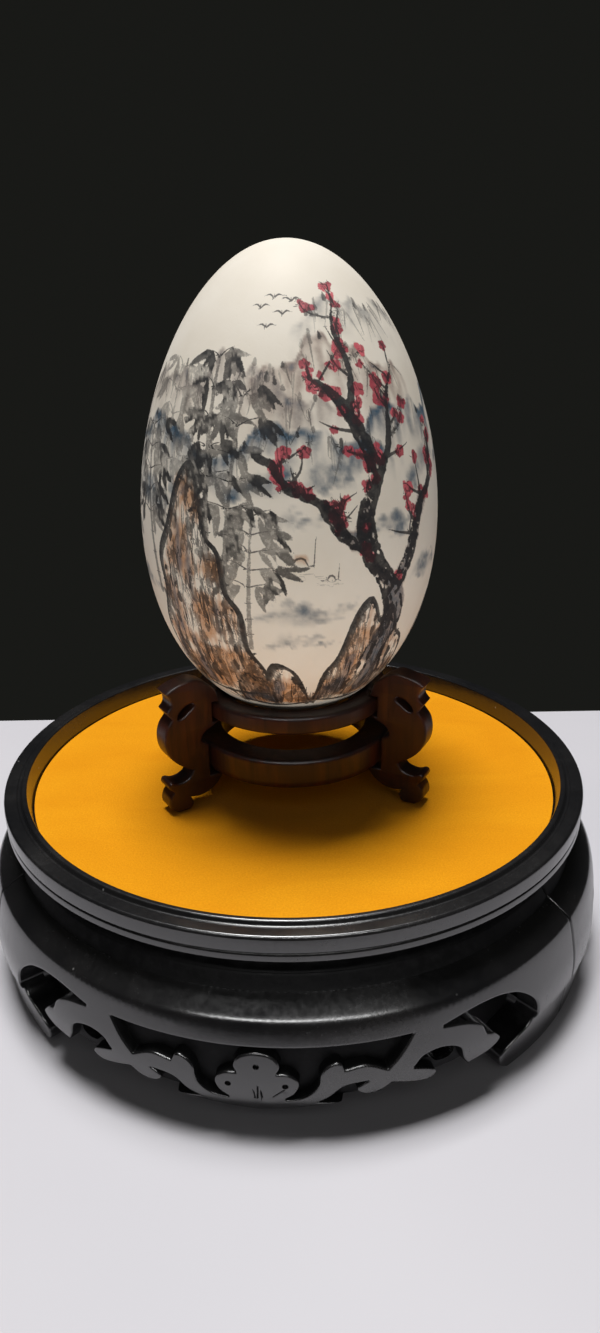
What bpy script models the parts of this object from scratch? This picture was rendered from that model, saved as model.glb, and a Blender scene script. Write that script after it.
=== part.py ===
"""Painted goose egg in a three-legged wooden stand, on a round black plinth.

Lengths are in millimetres in the tables below and become metres through MM.
Heights are above the table, apart from the stand's own, which are above the velvet.
The front is towards -Y. Degrees are measured from the front, towards +X.
"""
import math

import bmesh
import bpy
from mathutils import Matrix, Vector

MM = 0.001
FIT_GAP = 0.3
FELT_LEVEL = 35.3

# Egg, resting in the stand's top ring
EGG_RADIUS = 29.0
EGG_LENGTH = 90.6
EGG_BOTTOM = FELT_LEVEL + 16.7
EGG_TAPER = 0.116
EGG_ROUNDNESS = 0.009
EGG_RINGS = 18
EGG_SEGMENTS = 30

# Wooden stand
LEG_COUNT = 3
FIRST_LEG = 62.0
LEG_THICKNESS = 4.4
SLIT_DEPTH = 0.6
RING_SEGMENTS = 30
TOP_RING_PROFILE = (
    (16.4, 22.1), (19.4, 22.1), (19.9, 21.6), (19.9, 18.9), (19.4, 18.4), (13.2, 18.4), (13.7, 20.4), (15.7, 21.9),
)
LOWER_RING_PROFILE = (
    (15.5, 13.2), (20.5, 13.2), (21.0, 12.7), (21.0, 8.3), (20.5, 7.2), (19.4, 6.7), (15.5, 6.7),
)

# Plinth
PLINTH_TURN = -6.2
APRON_COUNT = 3
APRON_DEGREES = 120.0
APRON_SEGMENTS = 16
JOINT_WIDTH = 0.3
TRAY_SEGMENTS = 48
DISC_RADIUS = 55.6
DISC_THICKNESS = 1.4
DISC_EDGE = 0.3
WALL_RADIUS = 66.0
SEAM_HEIGHT = 19.1
RECESS_BOTTOM = 2.0
RECESS_DEPTH = 2.0
RECESS_DEGREES = 67.5
RECESS_SEGMENTS = 9
FOOT_FRONT = 62.2
FOOT_DEPTH = 6.5

# How far a cutting shape reaches on both sides of the wall: unlike lengths, so that no two ends meet
RECESS_REACH = 4.0
RAIL_REACH = 8.0
TREFOIL_REACH = 8.3
SCROLL_REACH = 8.6
OPENING_REACH = 9.0

# Turned profiles are (radius, height)
TRAY_PROFILE = (
    (0.0, 33.3), (55.9, 33.3), (56.0, 35.3), (56.8, 39.0), (57.7, 39.0), (58.5, 38.2), (59.4, 38.5),
    (60.8, 38.2), (61.35, 37.4), (61.35, 35.3), (61.0, 35.0), (61.35, 34.7), (61.3, 33.3), (57.4, 33.3),
    (56.2, 31.6), (56.7, 29.6), (58.2, 28.6), (51.0, 28.6), (51.0, 31.0), (0.0, 31.0),
)
BELLY_OUTSIDE = (
    (58.6, 28.3), (60.9, 28.2), (62.2, 27.2), (63.7, 24.1), (65.2, 20.0), (66.0, 15.5), (66.15, 11.5),
    (65.6, 7.6), (64.3, 4.6),
)
BELLY_INSIDE = ((60.0, 4.6), (61.2, 11.0), (60.3, 19.5), (55.0, 28.3))

# Leg outlines are (distance from the stand's axis, height, kind): "s" is a smooth point, "c" a corner
LEG_OUTLINE = (
    (21.9, 28.4, "c"), (24.2, 29.4, "s"), (27.0, 29.0, "s"), (29.6, 28.0, "s"), (30.9, 27.0, "c"),
    (30.1, 25.6, "s"), (29.8, 24.0, "s"), (30.8, 22.6, "c"), (29.8, 20.9, "c"), (31.3, 19.0, "s"),
    (31.9, 16.3, "s"), (31.2, 13.4, "s"), (29.0, 10.8, "s"), (25.2, 8.5, "c"), (26.3, 7.1, "s"),
    (28.5, 6.6, "s"), (30.3, 7.1, "s"), (30.8, 6.1, "s"), (29.8, 4.9, "c"), (30.7, 3.4, "s"),
    (30.7, 1.5, "s"), (29.1, 0.0, "c"), (26.3, 0.0, "c"), (25.5, 1.3, "s"), (26.1, 2.7, "c"),
    (24.2, 2.4, "s"), (21.9, 2.8, "s"), (19.7, 4.3, "s"), (18.3, 6.4, "c"), (21.4, 6.4, "c"),
    (21.4, 13.5, "c"), (22.9, 14.6, "s"), (22.3, 16.2, "s"), (20.4, 17.2, "s"), (18.7, 18.1, "c"),
    (20.3, 18.1, "c"), (20.3, 22.4, "c"), (18.7, 22.4, "c"), (19.6, 25.2, "s"),
)
LEG_EYE = (
    (24.2, 23.0, "s"), (25.6, 23.2, "s"), (27.2, 22.2, "s"), (27.9, 20.8, "s"), (27.0, 20.7, "s"), (25.6, 21.6, "s"),
)
LEG_SLIT = ((20.8, 24.9, "c"), (23.9, 24.4, "c"), (23.9, 24.9, "c"), (20.8, 25.5, "c"))

# Apron outlines are (degrees from the apron's middle, height, kind), for the half towards +X
APRON_EDGE = (
    (0.0, 4.5, "c"), (5.0, 5.3, "s"), (10.0, 6.3, "s"), (18.0, 7.2, "s"), (27.0, 8.2, "s"),
    (36.0, 9.2, "s"), (38.4, 10.3, "s"), (39.2, 11.3, "c"), (37.8, 13.0, "s"), (36.2, 13.9, "c"),
    (35.3, 16.0, "s"), (32.6, 17.8, "s"), (28.4, 18.8, "c"), (32.0, 19.6, "s"), (35.5, 20.0, "s"), (39.4, 19.7, "s"),
    (43.4, 18.1, "s"), (47.0, 14.6, "s"), (48.2, 11.2, "s"), (47.5, 9.6, "c"), (60.5, 9.6, "c"), (60.5, 0.0, "c"),
)
SCROLL = (
    (3.1, 7.9, "c"), (6.9, 8.9, "s"), (9.0, 11.3, "s"), (9.4, 13.8, "s"), (10.4, 15.4, "s"),
    (12.1, 15.9, "s"), (12.9, 14.4, "c"), (16.2, 14.9, "s"), (19.4, 13.2, "c"), (21.4, 15.8, "s"),
    (23.6, 19.4, "c"), (23.6, 21.0, "c"), (33.0, 21.0, "c"), (46.0, 15.0, "c"), (44.0, 8.0, "c"),
    (33.0, 8.6, "c"), (32.0, 10.6, "s"), (31.2, 13.3, "s"), (28.2, 14.8, "s"), (25.0, 14.3, "s"),
    (23.3, 12.3, "c"), (26.4, 10.9, "s"), (27.2, 9.6, "s"), (25.4, 8.6, "s"), (20.0, 10.2, "c"),
    (18.2, 8.8, "s"), (16.0, 8.6, "s"), (14.8, 10.0, "s"), (16.6, 11.6, "c"), (12.8, 11.0, "s"),
    (10.6, 8.7, "s"), (8.2, 6.9, "c"), (3.1, 6.6, "c"),
)
OVAL = (
    (31.2, 11.8, "s"), (29.6, 13.7, "s"), (27.4, 14.2, "s"), (25.2, 13.7, "s"), (24.3, 12.5, "s"),
    (26.8, 11.6, "s"), (28.2, 10.2, "s"), (30.4, 10.2, "s"),
)
TREFOIL = (
    (0.0, 18.1, "s"), (2.4, 17.4, "s"), (3.4, 15.6, "s"), (2.9, 14.2, "c"), (4.9, 13.9, "s"),
    (6.2, 12.2, "s"), (5.6, 10.0, "s"), (4.3, 8.7, "c"), (3.7, 2.7, "c"),
)
RAIL = (
    (0.0, 8.3, "c"), (5.1, 8.1, "c"), (8.5, 7.5, "c"), (14.1, 6.3, "c"), (14.1, 3.2, "c"), (0.0, 3.2, "c"),
)

# The foot's outline is (distance from the joint between two aprons, height, kind)
FOOT_OUTLINE = (
    (0.08, 0.0, "c"), (18.6, 0.0, "c"), (19.6, 1.6, "s"), (19.0, 4.2, "s"), (16.6, 7.0, "s"),
    (14.2, 9.3, "s"), (13.0, 11.0, "c"), (0.08, 11.0, "c"),
)

OBJECT_NAME = "painted_eggshell"
WORK_NAME = "working_shapes"
CURVE_STEPS = 6
OUTLINE_TOLERANCE = 0.11
WELD = 0.002
SHARP_DEGREES = 32.0
SIDES = (1.0, -1.0)


def clear_scene():
    for item in list(bpy.data.objects):
        bpy.data.objects.remove(item, do_unlink=True)


def collection_named(name):
    found = bpy.data.collections.get(name)
    if found is None:
        found = bpy.data.collections.new(name)
        bpy.context.scene.collection.children.link(found)
    return found


def add_object(name, data, collection):
    item = bpy.data.objects.new(name, data)
    collection_named(collection).objects.link(item)
    return item


def baked(item):
    """Replaces an object with a welded mesh of what its modifiers or curve make."""
    bpy.context.view_layer.update()
    shape = item.evaluated_get(bpy.context.evaluated_depsgraph_get())
    mesh = bpy.data.meshes.new_from_object(shape)
    soup = bmesh.new()
    soup.from_mesh(mesh)
    bmesh.ops.remove_doubles(soup, verts=soup.verts, dist=WELD * MM)
    bmesh.ops.recalc_face_normals(soup, faces=soup.faces)
    soup.to_mesh(mesh)
    soup.free()
    name = item.name
    place = item.matrix_world.copy()
    group = item.users_collection[0].name
    bpy.data.objects.remove(item, do_unlink=True)
    mesh.name = name
    result = add_object(name, mesh, group)
    result.matrix_world = place
    return result


def turned(name, profile, segments, closed, degrees=360.0):
    """A profile at +X, run down its outer side, turned about Z."""
    mesh = bpy.data.meshes.new(name)
    points = [(radius * MM, 0.0, height * MM) for radius, height in profile]
    edges = [(i, i + 1) for i in range(len(points) - 1)]
    if closed:
        edges.append((len(points) - 1, 0))
    mesh.from_pydata(points, edges, [])
    item = add_object(name, mesh, OBJECT_NAME)
    screw = item.modifiers.new("Turned", "SCREW")
    screw.axis = "Z"
    screw.angle = math.radians(degrees)
    screw.steps = segments
    screw.render_steps = segments
    screw.use_merge_vertices = True
    screw.merge_threshold = WELD * MM
    screw.use_normal_calculate = True
    return baked(item)


def tangent(before, after, kind, straight):
    """Which way the outline runs at a point: along its neighbours, or straight on at a corner."""
    return (after - before if kind == "s" else straight).normalized()


def smooth_points(points):
    """A closed outline, curved through its smooth points and straight between its corners."""
    places = [Vector((across, up)) for across, up, kind in points]
    kinds = [kind for across, up, kind in points]
    count = len(points)
    path = []
    for index in range(count):
        before, start, end, after = (places[(index + step) % count] for step in (-1, 0, 1, 2))
        span = end - start
        leave = tangent(before, end, kinds[index], span) * span.length
        arrive = tangent(start, after, kinds[(index + 1) % count], span) * span.length
        for step in range(CURVE_STEPS):
            t = step / CURVE_STEPS
            bend = t * t * (3.0 - 2.0 * t)
            start_pull = t * (1.0 - t) * (1.0 - t)
            end_pull = t * t * (1.0 - t)
            path.append(start.lerp(end, bend) + leave * start_pull - arrive * end_pull)
    return path


def height_over_chord(before, point, after):
    chord = after - before
    if chord.length == 0.0:
        return 0.0
    return abs(chord.cross(point - before)) / chord.length


def simplified(path):
    """Drops the points that the outline's shape doesn't need."""
    path = list(path)
    while len(path) > 4:
        count = len(path)
        heights = [height_over_chord(path[i - 1], path[i], path[(i + 1) % count]) for i in range(count)]
        lowest = min(range(count), key=heights.__getitem__)
        if heights[lowest] > OUTLINE_TOLERANCE:
            break
        del path[lowest]
    return path


def flat_outline(name, points, half_depth):
    """A closed outline in the XY plane, as thick as twice half_depth along Z."""
    path = simplified(smooth_points(points))
    curve = bpy.data.curves.new(name, "CURVE")
    curve.dimensions = "2D"
    curve.fill_mode = "BOTH"
    curve.extrude = half_depth * MM
    spline = curve.splines.new("POLY")
    spline.points.add(len(path) - 1)
    for knot, place in zip(spline.points, path):
        knot.co = (place.x * MM, place.y * MM, 0.0, 1.0)
    spline.use_cyclic_u = True
    return baked(add_object(name, curve, WORK_NAME))


def with_mirror_image(points):
    """The outline of the half towards +X, joined to its mirror image."""
    return tuple(points) + tuple(reversed([point for point in to_side(points, -1.0) if point[0] < 0.0]))


def to_side(points, side):
    return tuple((across * side, up, kind) for across, up, kind in points)


def in_arc_length(points):
    """Degrees round the wall, made millimetres along it."""
    scale = math.radians(1.0) * WALL_RADIUS
    return tuple((across * scale, up, kind) for across, up, kind in points)


def stand_up(item):
    """Stands a flat outline up: its second axis becomes Z, and its depth runs along Y."""
    item.data.transform(Matrix.Rotation(math.radians(90.0), 4, "X"))


def wrap_on_wall(item):
    """Bends an upright outline round the plinth, so that its sides run radially."""
    for vertex in item.data.vertices:
        along, depth, height = vertex.co
        angle = along / (WALL_RADIUS * MM)
        radius = WALL_RADIUS * MM - depth
        vertex.co = (radius * math.sin(angle), -radius * math.cos(angle), height)


def wall_piece(name, points, reach):
    item = flat_outline(name, in_arc_length(points), reach)
    stand_up(item)
    wrap_on_wall(item)
    return item


def combine(target, tool, operation):
    boolean = target.modifiers.new(operation.title(), "BOOLEAN")
    boolean.operation = operation
    boolean.solver = "EXACT"
    boolean.object = tool
    result = baked(target)
    bpy.data.objects.remove(tool, do_unlink=True)
    return result


def plain_material(name, color, roughness):
    """Nothing here is bare metal, so the metallic value is always zero."""
    found = bpy.data.materials.get(name)
    if found is not None:
        return found
    material = bpy.data.materials.new(name)
    material.use_nodes = True
    shader = material.node_tree.nodes["Principled BSDF"]
    shader.inputs["Base Color"].default_value = (*color, 1.0)
    shader.inputs["Roughness"].default_value = roughness
    shader.inputs["Metallic"].default_value = 0.0
    return material


def painted_shell():
    return plain_material("painted_shell", (0.78, 0.72, 0.62), 0.45)


def carved_rosewood():
    return plain_material("carved_rosewood", (0.085, 0.026, 0.014), 0.42)


def orange_velvet():
    return plain_material("orange_velvet", (0.80, 0.36, 0.02), 0.95)


def black_lacquer():
    return plain_material("black_lacquer", (0.012, 0.012, 0.013), 0.28)


def dress(item, material):
    item.data.materials.clear()
    item.data.materials.append(material)
    item.data.shade_smooth()
    item.data.set_sharp_from_angle(angle=math.radians(SHARP_DEGREES))


def egg_profile():
    """Radius and height from the narrow top down to the broad end."""
    raw = []
    for ring in range(EGG_RINGS + 1):
        angle = math.pi * ring / EGG_RINGS
        height = math.cos(angle)
        raw.append((math.sin(angle) * (1.0 - EGG_TAPER * height + EGG_ROUNDNESS * height * height), height))
    widest = max(radius for radius, height in raw)
    middle = EGG_BOTTOM + EGG_LENGTH / 2.0
    profile = [(EGG_RADIUS * radius / widest, middle + EGG_LENGTH / 2.0 * height) for radius, height in raw]
    profile[0] = (0.0, profile[0][1])
    profile[-1] = (0.0, profile[-1][1])
    return profile


def build_egg():
    egg = turned("egg", egg_profile(), EGG_SEGMENTS, closed=False)
    dress(egg, painted_shell())


def build_rings():
    for name, profile in (("stand_top_ring", TOP_RING_PROFILE), ("stand_lower_ring", LOWER_RING_PROFILE)):
        raised = [(radius, FELT_LEVEL + height) for radius, height in profile]
        ring = turned(name, raised, RING_SEGMENTS, closed=True)
        dress(ring, carved_rosewood())


def build_leg_shape():
    """One fretwork board, upright in the XZ plane with the stand's axis at X = 0."""
    leg = flat_outline("leg_board", LEG_OUTLINE, LEG_THICKNESS / 2.0)
    leg = combine(leg, flat_outline("leg_eye", LEG_EYE, LEG_THICKNESS), "DIFFERENCE")
    for side in SIDES:
        slit = flat_outline("leg_slit", LEG_SLIT, SLIT_DEPTH)
        slit.location.z = side * LEG_THICKNESS / 2.0 * MM
        leg = combine(leg, slit, "DIFFERENCE")
    stand_up(leg)
    return leg


def build_legs():
    shape = build_leg_shape()
    for index in range(LEG_COUNT):
        azimuth = FIRST_LEG + index * 360.0 / LEG_COUNT
        leg = add_object("stand_leg_%d" % (index + 1), shape.data.copy(), OBJECT_NAME)
        leg.location.z = FELT_LEVEL * MM
        leg.rotation_euler.z = math.radians(azimuth - 90.0)
        dress(leg, carved_rosewood())
    bpy.data.objects.remove(shape, do_unlink=True)


def build_disc():
    top = FELT_LEVEL - FIT_GAP
    bottom = top - DISC_THICKNESS
    profile = [
        (0.0, top), (DISC_RADIUS - DISC_EDGE, top), (DISC_RADIUS, top - DISC_EDGE),
        (DISC_RADIUS, bottom), (0.0, bottom),
    ]
    disc = turned("velvet_disc", profile, TRAY_SEGMENTS, closed=False)
    dress(disc, orange_velvet())


def build_tray():
    tray = turned("plinth_top", TRAY_PROFILE, TRAY_SEGMENTS, closed=False)
    dress(tray, black_lacquer())


def close_ends(item):
    soup = bmesh.new()
    soup.from_mesh(item.data)
    loose = [edge for edge in soup.edges if edge.is_boundary]
    bmesh.ops.holes_fill(soup, edges=loose, sides=0)
    bmesh.ops.recalc_face_normals(soup, faces=soup.faces)
    soup.to_mesh(item.data)
    soup.free()


def wall_segment(name, profile, degrees, segments):
    """Part of a turned ring, with its middle at the front."""
    item = turned(name, profile, segments, closed=True, degrees=degrees)
    close_ends(item)
    item.data.transform(Matrix.Rotation(math.radians(-90.0 - degrees / 2.0), 4, "Z"))
    return item


def belly_radius(height):
    """The outside of the wall at a height, carried straight on below its edge."""
    upper, lower = BELLY_OUTSIDE[0], BELLY_OUTSIDE[1]
    for after in BELLY_OUTSIDE[2:]:
        if height >= lower[1]:
            break
        upper, lower = lower, after
    share = (upper[1] - height) / (upper[1] - lower[1])
    return upper[0] + share * (lower[0] - upper[0])


def recess_tool():
    """The part of the wall's skin that is cut back round the scrolls, running out below the wall."""
    belly_heights = [height for radius, height in BELLY_OUTSIDE[:-1] if height < SEAM_HEIGHT]
    heights = [RECESS_BOTTOM] + sorted(belly_heights) + [SEAM_HEIGHT]
    floor = [(belly_radius(height) - RECESS_DEPTH, height) for height in heights]
    outside = WALL_RADIUS + RECESS_REACH
    profile = [(outside, SEAM_HEIGHT), (outside, RECESS_BOTTOM)] + floor
    return wall_segment("recess", profile, RECESS_DEGREES, RECESS_SEGMENTS)


def carved_recess():
    """The recess without the bottom rail, the trefoil and the two scrolls that stand in it."""
    recess = recess_tool()
    recess = combine(recess, wall_piece("rail", with_mirror_image(RAIL), RAIL_REACH), "DIFFERENCE")
    recess = combine(recess, wall_piece("trefoil", with_mirror_image(TREFOIL), TREFOIL_REACH), "DIFFERENCE")
    for side in SIDES:
        recess = combine(recess, wall_piece("scroll", to_side(SCROLL, side), SCROLL_REACH), "DIFFERENCE")
    return recess


def foot_block(side):
    """Half of a straight-fronted foot, at the apron's end."""
    foot = flat_outline("foot", to_side(FOOT_OUTLINE, -side), FOOT_DEPTH / 2.0)
    stand_up(foot)
    foot.data.transform(Matrix.Translation((0.0, -(FOOT_FRONT - FOOT_DEPTH / 2.0) * MM, 0.0)))
    foot.data.transform(Matrix.Rotation(math.radians(side * APRON_DEGREES / 2.0), 4, "Z"))
    return foot


def build_apron_shape():
    joint_degrees = math.degrees(JOINT_WIDTH / WALL_RADIUS)
    apron = wall_segment("apron", BELLY_OUTSIDE + BELLY_INSIDE, APRON_DEGREES - joint_degrees, APRON_SEGMENTS)
    apron = combine(apron, carved_recess(), "DIFFERENCE")
    apron = combine(apron, wall_piece("below", with_mirror_image(APRON_EDGE), OPENING_REACH), "DIFFERENCE")
    for side in SIDES:
        apron = combine(apron, wall_piece("oval", to_side(OVAL, side), OPENING_REACH), "DIFFERENCE")
    for side in SIDES:
        apron = combine(apron, foot_block(side), "UNION")
    return apron


def build_aprons():
    shape = build_apron_shape()
    for index in range(APRON_COUNT):
        apron = add_object("plinth_apron_%d" % (index + 1), shape.data.copy(), OBJECT_NAME)
        apron.rotation_euler.z = math.radians(PLINTH_TURN + index * 360.0 / APRON_COUNT)
        dress(apron, black_lacquer())
    bpy.data.objects.remove(shape, do_unlink=True)


def main():
    clear_scene()
    build_egg()
    build_rings()
    build_legs()
    build_disc()
    build_tray()
    build_aprons()


main()
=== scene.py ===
"""Looks of the painted goose egg on its wooden stand and black plinth.

Lengths in the tables are millimetres. Heights are above the table, apart from the stand's own,
which are above the velvet. The front is towards -Y, and degrees run from it towards +X.
"""
import math
import random

import bmesh
import bpy
import numpy as np
from mathutils import Matrix, Vector, geometry, noise


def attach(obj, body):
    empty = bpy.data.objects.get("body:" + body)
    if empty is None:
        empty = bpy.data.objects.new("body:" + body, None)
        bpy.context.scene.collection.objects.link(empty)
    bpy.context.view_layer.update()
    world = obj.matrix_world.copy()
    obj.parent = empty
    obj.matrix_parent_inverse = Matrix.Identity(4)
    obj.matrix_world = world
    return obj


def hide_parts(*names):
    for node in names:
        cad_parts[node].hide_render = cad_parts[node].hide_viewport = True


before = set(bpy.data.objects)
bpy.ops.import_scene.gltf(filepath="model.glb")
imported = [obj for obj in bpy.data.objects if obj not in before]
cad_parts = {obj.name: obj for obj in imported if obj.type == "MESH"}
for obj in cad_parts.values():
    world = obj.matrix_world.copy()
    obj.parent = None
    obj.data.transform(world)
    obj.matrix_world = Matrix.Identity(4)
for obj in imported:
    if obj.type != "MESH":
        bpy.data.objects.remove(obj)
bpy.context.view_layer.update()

MM = 0.001
FELT_LEVEL = 35.3
BODY = "root"

# Egg
EGG_RADIUS = 29.0
EGG_LENGTH = 90.6
EGG_BOTTOM = FELT_LEVEL + 16.7
EGG_TAPER = 0.116
EGG_ROUNDNESS = 0.009
EGG_RINGS = 250
EGG_SEGMENTS = 384
FRONT_CROWDING = 0.3

# Stand
LEG_COUNT = 3
FIRST_LEG = 62.0
LEG_THICKNESS = 4.4

# Plinth
PLINTH_TURN = -6.2
APRON_COUNT = 3
TURNED_SEGMENTS = 224
RING_SEGMENTS = 144
DISC_RINGS = 60
DISC_SEGMENTS = 180
DISC_RADIUS = 55.6
DISC_TOP = 35.0
DISC_BOTTOM = 33.6

# Turned profiles are (radius, height, rounding)
TRAY_PROFILE = (
    (0, 33.3, 0), (55.9, 33.3, 0.1), (56, 35.3, 0.5), (56.75, 39, 0.35), (57.75, 39, 0.3),
    (58.15, 38.15, 0.2), (58.6, 38.15, 0.2), (58.85, 38.38, 0.12), (61, 38.42, 0.22), (61.37, 38, 0.25),
    (61.35, 35.3, 0.2), (61.02, 35.05, 0.08), (61.3, 34.75, 0.2), (61.3, 33.35, 0.35), (57.4, 33.2, 1.2),
    (56.2, 31.6, 1.2), (56.7, 29.6, 1), (58.2, 28.6, 0.2), (51, 28.6, 0.1), (51, 31, 0.1),
    (0, 31, 0),
)
TOP_RING_PROFILE = (
    (16.4, 22.1, 0.3), (19.4, 22.1, 0.4), (19.9, 21.6, 0.3), (19.9, 18.9, 0.3), (19.4, 18.4, 0.3),
    (13.2, 18.4, 0.2), (13.7, 20.4, 0.5), (15.7, 21.9, 0.4),
)
LOWER_RING_PROFILE = (
    (15.5, 13.2, 0.3), (20.5, 13.2, 0.4), (21, 12.7, 0.3), (21, 8.3, 0.5), (20.5, 7.2, 0.5),
    (19.4, 6.7, 0.4), (15.5, 6.7, 0.3),
)

# Leg outlines are (distance from the stand's axis, height), with "c" at a corner
LEG_OUTLINE = (
    (21.9, 27.3, "c"), (24, 28.2), (26.7, 27.9), (29, 27.2), (30.2, 26.5, "c"),
    (29.4, 25.4), (29.2, 23.9), (30.2, 22.6, "c"), (29.1, 20.9, "c"), (30.5, 19),
    (31, 16.2), (30.4, 13.4), (28.4, 10.8), (25.2, 8.5, "c"), (26.3, 7.1),
    (28.5, 6.6), (30.3, 7.1), (30.8, 6.1), (29.8, 4.9, "c"), (30.7, 3.4),
    (30.7, 1.5), (29.1, 0, "c"), (26.3, 0, "c"), (25.5, 1.3), (26.1, 2.7, "c"),
    (24.2, 2.4), (21.9, 2.8), (19.7, 4.3), (18.3, 6.4, "c"), (21.4, 6.4, "c"),
    (21.4, 13.5, "c"), (22.9, 14.6), (22.3, 16.2), (20.4, 17.2), (18.7, 18.1, "c"),
    (20.3, 18.1, "c"), (20.3, 22.4, "c"), (18.7, 22.4, "c"), (19.6, 25.2),
)
LEG_EYE = (
    (24.2, 23), (25.6, 23.2), (27.2, 22.2), (27.9, 20.8), (27, 20.7), (25.6, 21.6),
)
LEG_BEVEL = 0.45

# Apron outlines are (degrees from the apron's middle, height), for the half towards +X
WALL_RADIUS = 66.0
APRON_HALF = 59.87
SEAM_HEIGHT = 19.1
RECESS_HALF = 33.75
RECESS_DEPTH = 2.0
WALL_TOP = 28.55
# Above CREASE_HEIGHT on the wall, and below TRAY_STEP on the rim, the dull lacquer of painted shade is used.
CREASE_HEIGHT = 26.07
TRAY_STEP = 33.25
BELLY_OUTSIDE = (
    (3, 63.6), (4.6, 64.3), (7.6, 65.55), (11.5, 66.04), (15, 65.93), (18.5, 65.38), (21.3, 64.8), (22.4, 64.5),
    (23, 64.22), (23.45, 63.85), (23.8, 63.4), (24.2, 62.8), (24.8, 61.85), (25.4, 60.88), (25.85, 60.12),
    (26.05, 59.75), (26.1, 59.64), (26.15, 59.56), (26.6, 59.25), (27.4, 58.7), (28.6, 57.9),
)
BELLY_INSIDE = ((3, 60), (4.6, 60), (11, 61.2), (19.5, 60.3), (28.6, 54.9))
APRON_EDGE = (
    (0, 4.5, "c"), (5, 5.3), (10, 6.3), (18, 7.2), (27, 8.2),
    (36, 9.2), (38.4, 10.3), (39.2, 11.3, "c"), (37.8, 13), (36.2, 13.9, "c"),
    (35.3, 16), (32.6, 17.8), (28.4, 18.8, "c"), (32, 19.6), (35.5, 20), (39.4, 19.7),
    (43.4, 18.1), (47, 14.6), (48.2, 11.2), (47.5, 9.6, "c"), (60.5, 9.6, "c"), (60.5, 0, "c"),
)
SCROLL = (
    (3.1, 7.9, "c"), (6.9, 8.9), (9, 11.3), (9.4, 13.8), (10.4, 15.4),
    (12.1, 15.9), (12.9, 14.4, "c"), (16.2, 14.9), (19.4, 13.2, "c"), (21.4, 15.8),
    (23.6, 19.4, "c"), (23.6, 21, "c"), (33, 21, "c"), (46, 15, "c"), (44, 8, "c"),
    (33, 8.6, "c"), (32, 10.6), (31.2, 13.3), (28.2, 14.8), (25, 14.3),
    (23.3, 12.3, "c"), (26.4, 10.9), (27.2, 9.6), (25.4, 8.6), (20, 10.2, "c"),
    (18.2, 8.8), (16, 8.6), (14.8, 10), (16.6, 11.6, "c"), (12.8, 11),
    (10.6, 8.7), (8.2, 6.9, "c"), (3.1, 6.6, "c"),
)
OVAL = (
    (31.2, 11.8), (29.6, 13.7), (27.4, 14.2), (25.2, 13.7), (24.3, 12.5),
    (26.8, 11.6), (28.2, 10.2), (30.4, 10.2),
)
TREFOIL = (
    (0, 18.1), (2.4, 17.4), (3.4, 15.6), (2.9, 14.2, "c"), (4.9, 13.9),
    (6.2, 12.2), (5.6, 10), (4.3, 8.7, "c"), (3.7, 2.7, "c"),
)
RAIL = (
    (0, 8.3, "c"), (5.1, 8.1, "c"), (8.5, 7.5, "c"), (14.1, 6.3, "c"), (14.1, 3.2, "c"), (0, 3.2, "c"),
)

# Drilled dots and cut veins of the trefoil, in millimetres along the wall and up it
DOTS = ((0, 15.6), (-4.84, 11.7), (4.84, 11.7))
DOT_RADIUS = 0.55
DOT_SLOPE = 0.15
DOT_DEPTH = 0.6
DOT_POINTS = 20
VEINS = (
    ((0.1, 8.8), (0.25, 11.6)), ((-0.35, 8.8), (-0.55, 10.4)), ((0.9, 8.8), (0.75, 10.1)), ((2.6, 9), (4.3, 10.6)),
)
VEIN_WIDTH = 0.2
VEIN_DEPTH = 0.35

# The foot's outline is (distance from the joint between two aprons, height), its front (height, radius)
FOOT_OUTLINE = (
    (0.08, 0, "c"), (18.7, 0, "c"), (20.9, 1.8), (21.6, 3.9), (20.4, 5.7), (17.6, 7.2),
    (14.9, 8.2), (13.6, 9.4), (13, 11, "c"), (0.08, 11, "c"),
)
FOOT_FRONT = ((-1, 64), (0, 64.1), (2, 64.5), (6, 65), (9, 65.3), (12, 65.2))
FOOT_DEPTH = 6.5
FOOT_CUT = 1.6

# Carving is laid out on a grid this fine. Edges are rounded over these lengths.
FIELD_STEP = 0.2
FIELD_REACH = 3.0
OUTER_ROUNDING = 0.45
CARVED_ROUNDING = 0.3
CARVED_SLOPE = 0.16
FLAT_LINE = 0.2
SIDES = (1.0, -1.0)
ALONG = np.arange(-70.0, 70.001, FIELD_STEP)
HEIGHTS = np.arange(3.0, 29.4, FIELD_STEP)

# Rows of points in the plain parts of the wall, closer together at its shoulder
PLAIN_ROWS = (*np.arange(4.6, 22.3, 0.8), *np.arange(22.7, 26.0, 0.24), 26.03, 26.08, 26.14, 26.4, 27.0, 27.7)
ROW_STEP = 1.4
ROW_REACH = 69.3

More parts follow.
